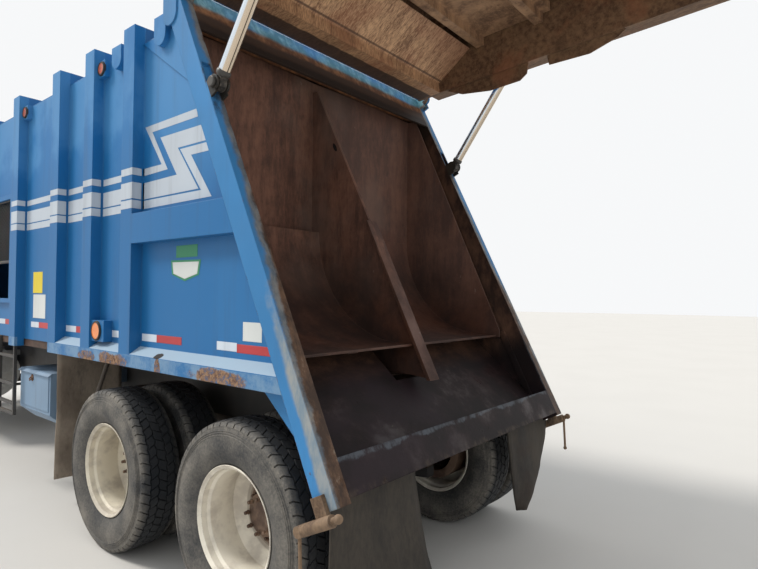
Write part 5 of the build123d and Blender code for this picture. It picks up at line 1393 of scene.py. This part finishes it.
class TRUCK_OT_rims(bpy.types.Operator):
    """Replaces the plain rims by rolled ones with nuts and hubs"""

    bl_idname = "truck.rims"
    bl_label = "Rims and hubs"

    def execute(self, context):
        for steer, group in ((False, wheel_sets), (True, steer_sets)):
            for body, tyre, rim, sign, y in group:
                form = Form()
                marks = []
                centre = (0, y, wheel_z)
                places = [(steer_place, sign)] if steer else [(twin_places[0], sign), (twin_places[1], -sign)]
                for place, out in places:
                    line, tone = rim_profile(sign * place, out, steer)
                    form.turned(line, centre, steps=96, closed=False)
                    marks += np.repeat(tone, 96).tolist()
                before = form.count
                if steer:
                    studs(form, sign * (steer_place + steer_face), sign, 0.1425, 10, y, turn=0.2)
                else:
                    studs(form, sign * (twin_places[0] + twin_face), sign, 0.143, 10, y, turn=0.2)
                    studs(form, sign * (twin_places[0] - 0.06), sign, 0.088, 8, y, size=0.01, height=0.012)
                drum = along(steer_drum if steer else twin_drum) * along([sign, 1])
                form.turned(drum, centre, steps=64, closed=False)
                marks += [hub_mark] * (form.count - before)
                piece = form.piece(rim + "_rolled", body, "rim_cream", finishes["rim"], angle=30,
                                   mark=("hub", marks))
                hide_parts(rim)
        return {"FINISHED"}


# Mud flaps, each as (inner edge, outer edge, power of the outer edge's bend, y, top, foot, curl, side). An
# edge is x at the top and at the foot.
flap_rows = [((0.52, 0.44), (1.135, 1.14), 1, 0.635, 0.79, 0.215, 0.055, 1),
             ((-0.55, -0.7), (-1.2, -0.75), 2.2, 0.64, 0.8, 0.185, 0.045, -1),
             ((0.56, 0.56), (1.075, 1.075), 1, -2.5, 1.3, 0.165, 0.03, 1),
             ((-0.56, -0.56), (-1.075, -1.075), 1, -2.5, 1.3, 0.165, 0.03, -1)]


class TRUCK_OT_flaps(bpy.types.Operator):
    """Hangs the four rubber flaps, bent and curled as rubber hangs"""

    bl_idname = "truck.flaps"
    bl_label = "Mud flaps"

    def execute(self, context):
        form = Form()
        across = np.linspace(0, 1, 15)[None, :]
        down = np.linspace(0, 1, 22)[:, None]
        for inner, outer, power, y, top, foot, bend, sign in flap_rows:
            x0 = inner[0] + (inner[1] - inner[0]) * down
            x1 = outer[0] + (outer[1] - outer[0]) * down ** power
            x = x0 + (x1 - x0) * across
            z = np.broadcast_to(top + (foot - top) * down, x.shape)
            curl = bend * down ** 1.6 * (0.5 + 0.6 * np.sin(across * 3.0 + sign))
            curl = curl + 0.006 * ripple(x * 14 + 2.0 * down)
            points = np.stack([x + 0.012 * down * ripple(4 * down + y), y + axle_rear + curl, z], -1)
            form.grid(points)
        piece = form.piece("rubber_flaps", "truck", "rubber", finishes["rubber"], thick=0.01)
        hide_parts("mudflaps")
        return {"FINISHED"}


# Lamps
class TRUCK_OT_lamps(bpy.types.Operator):
    """Sets grommets round the side and tail lamps, and bright rims round the head lamps"""

    bl_idname = "truck.lamps"
    bl_label = "Lamp rims"

    def execute(self, context):
        ring = along([(-0.004, 0.0005), (-0.004, 0.014), (0.006, 0.013), (0.0115, 0.009), (0.0115, 0.0005)])
        form = Form()
        for y, z, x, r in [(-1.501, 1.411, 1.206, 0.054), (-1.541, 3.21, 1.186, 0.036),
                           (-2.974, 3.2, 1.186, 0.036)]:
            form.turned(ring + along([x, r]), (0, y, z), steps=40)
        form.moved(from_axle).mirrored()
        form.piece("side_lamp_grommets", "truck", "rubber", finishes["seal"])
        form = Form()
        for x in (0.88, 1.0):
            form.turned(ring + along([1.96, 0.038]), (x, 0, 1.045), steps=40, axis=1)
        form.moved(raise_gate).mirrored()
        form.piece("tail_lamp_grommets", "tailgate", "rubber", finishes["seal"])
        form = Form()
        rim = along([(-7.596, 0.0785), (-7.596, 0.1), (-7.604, 0.101), (-7.614, 0.094), (-7.622, 0.085),
                     (-7.62, 0.0785)])
        for x in (0.78, 0.96):
            form.turned(rim, (x, 0, 0.915), steps=48, axis=1)
        form.moved(from_axle).mirrored()
        form.piece("head_lamp_rims", "hood", "chrome", finishes["chrome"])
        return {"FINISHED"}


# Guard over the left access opening
class TRUCK_OT_guard(bpy.types.Operator):
    """Fills the upper part of the left access opening with expanded metal in a frame"""

    bl_idname = "truck.guard"
    bl_label = "Access guard"

    def execute(self, context):
        # The opening's plane and its edges, from the rear axle, and the strands' slope and spacing
        x, y0, y1, z0, z1 = 1.15, -3.925, -3.33, 1.94, 2.5
        slope, spacing = 0.55, 0.036
        form = Form()
        y = y0 + (y1 - y0) * np.linspace(0, 1, 12)
        for sign in (1, -1):
            for start in np.arange(-0.62, 0.62, spacing):
                z = z0 + 0.15 + (start + slope * (y - y0 if sign > 0 else y1 - y))
                seen = (z > z0) & (z < z1)
                if seen.sum() > 2:
                    path = np.stack([np.full(seen.sum(), x + sign * 0.001), y[seen], z[seen]], -1)
                    form.tube(path, 0.0028, sides=4)
        border = rounded_line([(x, y0, z0), (x, y1, z0), (x, y1, z1), (x, y0, z1)], 0.01)
        form.hoop(border, 0.014, 0.008, (1, 0, 0), sides=8)
        form.moved(from_axle)
        form.piece("access_guard", "truck", "steel", finishes["black"])
        return {"FINISHED"}


# Lift cylinders: the X of their axes and of their pipes. Places along them are from the rod's eye.
lift_x = 1.18
pipe_x = 1.249


class TRUCK_OT_cylinders(bpy.types.Operator):
    """Fits the lift cylinders with glands, end rings, rigid pipes, greasy feet and pin heads"""

    bl_idname = "truck.cylinders"
    bl_label = "Lift cylinder fittings"

    def execute(self, context):
        axis = (lift_x, 0, 0)
        for side, sign in sides:
            form = Form()
            form.turned([(1.008, 0.037), (1.008, 0.054), (1.016, 0.059), (1.058, 0.059), (1.066, 0.055),
                         (1.066, 0.0515)], axis, steps=40, axis=2)
            form.turned([(2.06, 0.0515), (2.06, 0.056), (2.068, 0.059), (2.116, 0.059), (2.124, 0.056),
                         (2.124, 0.0515)], axis, steps=40, axis=2)
            for up in (1.12, 1.98):
                form.turned([(1.225, 0), (1.225, 0.019), (1.24, 0.019), (1.246, 0.016), (1.257, 0.016),
                             (1.257, 0)], (0, 0, up), steps=6, closed=False)
            form.moved(from_lift).sided(sign)
            form.piece("lift_glands_" + side, "lift_barrel_" + side, "steel", finishes["steel"])
            form = Form()
            heights = [1.12, 1.135, *np.linspace(1.15, 1.95, 18), 1.965, 1.98]
            form.tube([(pipe_x, 0, up) for up in heights], 0.0085, sides=12)
            for up in (1.35, 1.72):
                form.turned(collar(up, 0.012, 0.0515, 0.0555), axis, steps=40, axis=2)
            form.moved(from_lift).sided(sign)
            form.piece("lift_pipe_" + side, "lift_barrel_" + side, "barrel", finishes["barrel"])
            form = Form()
            form.turned([(0.05, 0.03), (0.05, 0.037), (0.056, 0.039), (0.07, 0.039), (0.078, 0.0345),
                         (0.078, 0.03)], axis, steps=32, axis=2)
            form.moved(from_lift).sided(sign)
            form.piece("lift_wiper_" + side, "lift_rod_" + side, "cast", finishes["grease"])
            form = Form().turned(knob(1.222, 1.233, 1.238, 0.03, 0.026), (0, 0, 0), steps=28, closed=False)
            form.moved(from_lift).sided(sign)
            form.piece("lift_foot_pin_" + side, "truck", "cast", finishes["grease"])
            form = Form().turned(knob(1.224, 1.236, 1.241, 0.03, 0.026), (0, 0, 2.2), steps=28, closed=False)
            form.moved(from_lift).sided(sign)
            form.piece("lift_head_pin_" + side, "tailgate", "cast", finishes["grease"])
        return {"FINISHED"}


# The windscreen's foot, its run back for its height and its outward normal, then the planes of the rear
# window, the door glass, the mirrors and the grille's frame, and the thickness of the panes
screen_foot = (-6.34, 1.95)
screen_slope = 0.3924
screen_out = (0, -0.9309, 0.3653)
window_y = -4.975
door_x = 0.988
mirror_y = -6.129
grille_y = -7.803
glass_wall = 0.005


def screen(x, z, off):
    """A point on the windscreen's slope, off out of it, drawn from the rear axle."""
    y = screen_foot[0] + (z - screen_foot[1]) * screen_slope
    return (x, y + screen_out[1] * off, z + screen_out[2] * off)


# Cab glass, mirrors, handles, marker lamps, grille frame and bumper bolts
class TRUCK_OT_cab(bpy.types.Operator):
    """Glazes the cab and the doors, and adds seals, wipers, handles, mirror glass, marker lamps, the grille's
    frame and the bumper's bolts"""

    bl_idname = "truck.cab"
    bl_label = "Cab fittings"

    def execute(self, context):
        front = rounded_line([screen(-0.86, 1.99, -0.02), screen(0.86, 1.99, -0.02), screen(0.8, 2.69, -0.02),
                              screen(-0.8, 2.69, -0.02)], 0.05)
        back = rounded_line([(x, window_y, z) for x, z in ((-0.6, 2.0), (0.6, 2.0), (0.6, 2.5), (-0.6, 2.5))],
                            0.04)
        form = Form().pane(front).pane(back).moved(from_axle)
        form.piece("cab_glass", "truck", "lens_clear", finishes["glass"], thick=glass_wall)
        form = Form().hoop(front, 0.018, 0.024, screen_out).hoop(back, 0.018, 0.03, (0, 1, 0))
        for pivot in (0.42, -0.42):
            arm = [screen(pivot, 1.985, 0.012), screen(pivot - 0.12, 2.1, 0.022),
                   screen(pivot - 0.24, 2.2, 0.02)]
            blade = [screen(pivot - 0.36, 2.06, 0.006), screen(pivot - 0.24, 2.2, 0.008),
                     screen(pivot - 0.1, 2.37, 0.006)]
            form.tube(arm, 0.007, sides=8).tube(blade, 0.008, sides=8)
        form.moved(from_axle)
        form.piece("cab_seals", "truck", "rubber", finishes["seal"])
        form = Form()
        for x in (-0.62, -0.2, 0.0, 0.2, 0.62):
            form.turned([(2.76, 0), (2.76, 0.04), (2.79, 0.039), (2.806, 0.03), (2.813, 0.014), (2.813, 0)],
                        (x, -5.945, 0), steps=28, axis=2, closed=False)
        form.moved(from_axle)
        form.piece("roof_markers", "truck", "lens_amber", finishes["amber"])
        rail = [(1.012, 1.36), (1.045, 1.37), (1.062, 1.4), (1.062, 1.7), (1.062, 2.0), (1.045, 2.03),
                (1.012, 2.04)]
        form = Form().tube([(x, -5.09, z) for x, z in rail], 0.012, sides=12).moved(from_axle).mirrored()
        form.piece("grab_rails", "truck", "chrome", finishes["chrome"])
        outline = [(-5.32, 1.95), (-5.32, 2.61), (-5.955, 2.61), (-6.145, 2.13), (-6.145, 1.95)]
        glazing = rounded_line([(door_x, y, z) for y, z in outline], 0.04)
        outline = [(1.137, 2.03), (1.293, 2.03), (1.293, 2.41), (1.137, 2.41)]
        mirror = rounded_line([(x, mirror_y, z) for x, z in outline], 0.03)
        handle = [(1.012, -5.4), (1.04, -5.39), (1.048, -5.37), (1.048, -5.3), (1.04, -5.28), (1.012, -5.27)]
        for side, sign in sides:
            form = Form().pane(glazing).moved(from_axle).sided(sign)
            form.piece("door_glass_" + side, "door_" + side, "lens_clear", finishes["glass"],
                       thick=glass_wall)
            form = Form().hoop(glazing, 0.016, 0.035, (1, 0, 0)).hoop(mirror, 0.008, 0.006, (0, 1, 0))
            form.tube([(x, y, 1.742) for x, y in handle], 0.012, sides=10).moved(from_axle).sided(sign)
            form.piece("door_rubber_" + side, "door_" + side, "rubber", finishes["seal"])
            form = Form().pane(mirror).moved(from_axle).sided(sign)
            form.piece("mirror_glass_" + side, "door_" + side, "chrome", finishes["mirror"], thick=0.002)
        outline = [(-0.455, 0.995), (0.455, 0.995), (0.455, 1.555), (-0.455, 1.555)]
        border = rounded_line([(x, grille_y, z) for x, z in outline], 0.03)
        form = Form().hoop(border, 0.02, 0.012, (0, -1, 0)).moved(from_axle)
        form.piece("grille_frame", "hood", "chrome", finishes["chrome"])
        form = Form()
        for x in (0.36, 0.86):
            for z in (0.56, 0.68):
                form.bolt((x, -7.9, z), 1, -1, 0.016)
        form.moved(from_axle).mirrored()
        form.piece("bumper_bolts", "truck", "bumper", finishes["chrome"])
        return {"FINISHED"}


# Tanks and boxes: the axes of the fuel tank, the exhaust stack, the air tanks and the brake chambers
fuel_tank = (0.78, 0, 0.73)
stack = (-0.86, -4.78, 0)
air_tank = (0.29, 0, 0.9)
chamber_axis = (0.3, 0, 0.63)


class TRUCK_OT_tanks(bpy.types.Operator):
    """Adds straps and caps to the tanks, a door and latch to the tool box, a lid to the battery box, and
    clamps and a rain flap to the stack"""
    bl_idname = "truck.tanks"
    bl_label = "Tanks, boxes and stack"

    def execute(self, context):
        form = Form()
        for y in (-5.95, -5.38):
            form.turned(collar(y, 0.03, 0.289, 0.2945), fuel_tank, steps=72, axis=1)
        for y in (-6.165, -5.165):
            form.turned([(y - 0.006, 0.288), (y - 0.003, 0.2925), (y + 0.003, 0.2925), (y + 0.006, 0.288)],
                        fuel_tank, steps=72, axis=1)
        cap = along([(0, 0), (0, 0.056), (0.02, 0.056), (0.022, 0.05), (0.045, 0.05), (0.05, 0.045),
                     (0.05, 0)])
        for x, y, z in [(0.78, -5.24, 1.01), (-0.78, -4.3, 0.99)]:
            form.turned(cap + along([z, 0]), (x, y, 0), steps=30, axis=2, closed=False)
        form.moved(from_axle)
        form.piece("tank_straps_and_caps", "truck", "steel", finishes["steel"], bevel=0.0015)
        form = Form()
        form.box((1.096, -3.192, 0.69), (1.106, -2.583, 0.978))
        form.prism([(1.09, 0.984), (1.122, 0.98), (1.122, 0.984), (1.1, 1.0), (1.09, 1.008)], -3.225, -2.55,
                   axis=1)
        form.moved(from_axle)
        form.piece("tool_box_door", "truck", "box_blue", finishes["box"], bevel=0.003)
        form = Form().turned(knob(1.104, 1.108, 1.11, 0.03, 0.026), (0, -2.93, 0.94), steps=24, closed=False)
        form.tube([(1.108, -2.955, 0.945), (1.122, -2.95, 0.93), (1.126, -2.93, 0.918), (1.122, -2.91, 0.93),
                   (1.108, -2.905, 0.945)], 0.005, sides=8)
        form.moved(from_axle)
        form.piece("tool_box_latch", "truck", "steel", finishes["rusty"])
        form = Form()
        form.box((-1.068, -6.158, 0.945), (-0.512, -5.242, 0.97))
        for y in (-5.95, -5.45):
            form.box((-1.072, y - 0.02, 0.62), (-1.06, y + 0.02, 0.95))
        form.moved(from_axle)
        form.piece("battery_lid", "truck", "frame_black", finishes["black"], bevel=0.004)
        form = Form()
        for z in (1.42, 1.95, 2.46):
            form.turned(collar(z, 0.018, 0.124, 0.129), stack, steps=48, axis=2)
        form.turned([(3.246, 0), (3.246, 0.066), (3.252, 0.067), (3.252, 0)], stack, steps=32, axis=2,
                    closed=False)
        form.moved(from_axle)
        form.piece("stack_clamps", "truck", "chrome", finishes["steel"])
        return {"FINISHED"}


# Underbody
class TRUCK_OT_underbody(bpy.types.Operator):
    """Hangs brake chambers on the drive axles, air tanks between the rails and the braces under the sills,
    and closes the corners between the cheeks and the posts"""

    bl_idname = "truck.underbody"
    bl_label = "Underbody"

    def execute(self, context):
        chamber = along([(0, 0), (0, 0.05), (0.01, 0.07), (0.05, 0.078), (0.066, 0.078), (0.068, 0.088),
                         (0.088, 0.088), (0.09, 0.078), (0.11, 0.076), (0.15, 0.06), (0.16, 0.03),
                         (0.2, 0.012), (0.2, 0)])
        tank = along([(0, 0), (0.005, 0.05), (0.03, 0.095), (0.06, 0.11), (0.6, 0.11), (0.63, 0.095),
                      (0.655, 0.05), (0.66, 0)])
        form = Form()
        for y in (-0.3, -1.672):
            form.turned(chamber + along([y, 0]), chamber_axis, steps=32, axis=1, closed=False)
        form.tube([(1.0, -1.72, 1.25), (0.985, -1.86, 1.08), (0.97, -2.0, 0.91), (0.9, -2.03, 0.9),
                   (0.7, -2.04, 0.9), (0.49, -2.04, 0.9)], 0.016)
        form.moved(from_axle).mirrored()
        form.piece("brake_chambers_and_braces", "truck", "frame_black", finishes["cast"])
        form = Form()
        for y in (-3.3, -4.2):
            form.turned(tank + along([y, 0]), air_tank, steps=36, axis=1, closed=False)
            for strap in (y + 0.15, y + 0.51):
                form.turned(collar(strap, 0.02, 0.109, 0.113), air_tank, steps=36, axis=1)
                form.box((0.38, strap - 0.015, 0.88), (0.424, strap + 0.015, 0.92))
        form.moved(from_axle)
        form.piece("air_tanks", "truck", "frame_black", finishes["black"])
        form = Form()
        edge = [(-0.165, -2.2), (-0.118, -2.2), (-0.118, -2.744), (-0.165, -2.744)]
        form.prism(edge, 1.128, 1.1396)
        form.moved(from_seal).mirrored()
        form.piece("cheek_bars", "truck", "rear_blue", finishes["rear"], bevel=0.002)
        return {"FINISHED"}


classes = [TruckPaint, TruckWheels, TruckStage, TRUCK_OT_finishes, TRUCK_OT_stage, TRUCK_OT_stripes,
           TRUCK_OT_labels, TRUCK_OT_tyres, TRUCK_OT_rims, TRUCK_OT_flaps, TRUCK_OT_lamps, TRUCK_OT_guard,
           TRUCK_OT_cylinders, TRUCK_OT_cab, TRUCK_OT_tanks, TRUCK_OT_underbody]


class TRUCK_PT_panel(bpy.types.Panel):
    """Lists the steps in the 3D view's sidebar"""

    bl_label = "Truck"
    bl_idname = "TRUCK_PT_panel"
    bl_space_type = "VIEW_3D"
    bl_region_type = "UI"
    bl_category = "Truck"

    def draw(self, context):
        for item in classes:
            if issubclass(item, bpy.types.Operator):
                self.layout.operator(item.bl_idname)


def register():
    """Adds the classes and the scene's settings."""
    for item in classes + [TRUCK_PT_panel]:
        bpy.utils.register_class(item)
    bpy.types.Scene.truck_paint = PointerProperty(type=TruckPaint)
    bpy.types.Scene.truck_wheels = PointerProperty(type=TruckWheels)
    bpy.types.Scene.truck_stage = PointerProperty(type=TruckStage)


def unregister():
    """Takes them away again."""
    del bpy.types.Scene.truck_paint
    del bpy.types.Scene.truck_wheels
    del bpy.types.Scene.truck_stage
    for item in reversed(classes + [TRUCK_PT_panel]):
        bpy.utils.unregister_class(item)


def main():
    """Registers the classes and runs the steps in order."""
    register()
    for item in classes:
        if issubclass(item, bpy.types.Operator):
            group, step = item.bl_idname.split(".")
            getattr(getattr(bpy.ops, group), step)()


if __name__ == "__main__":
    main()
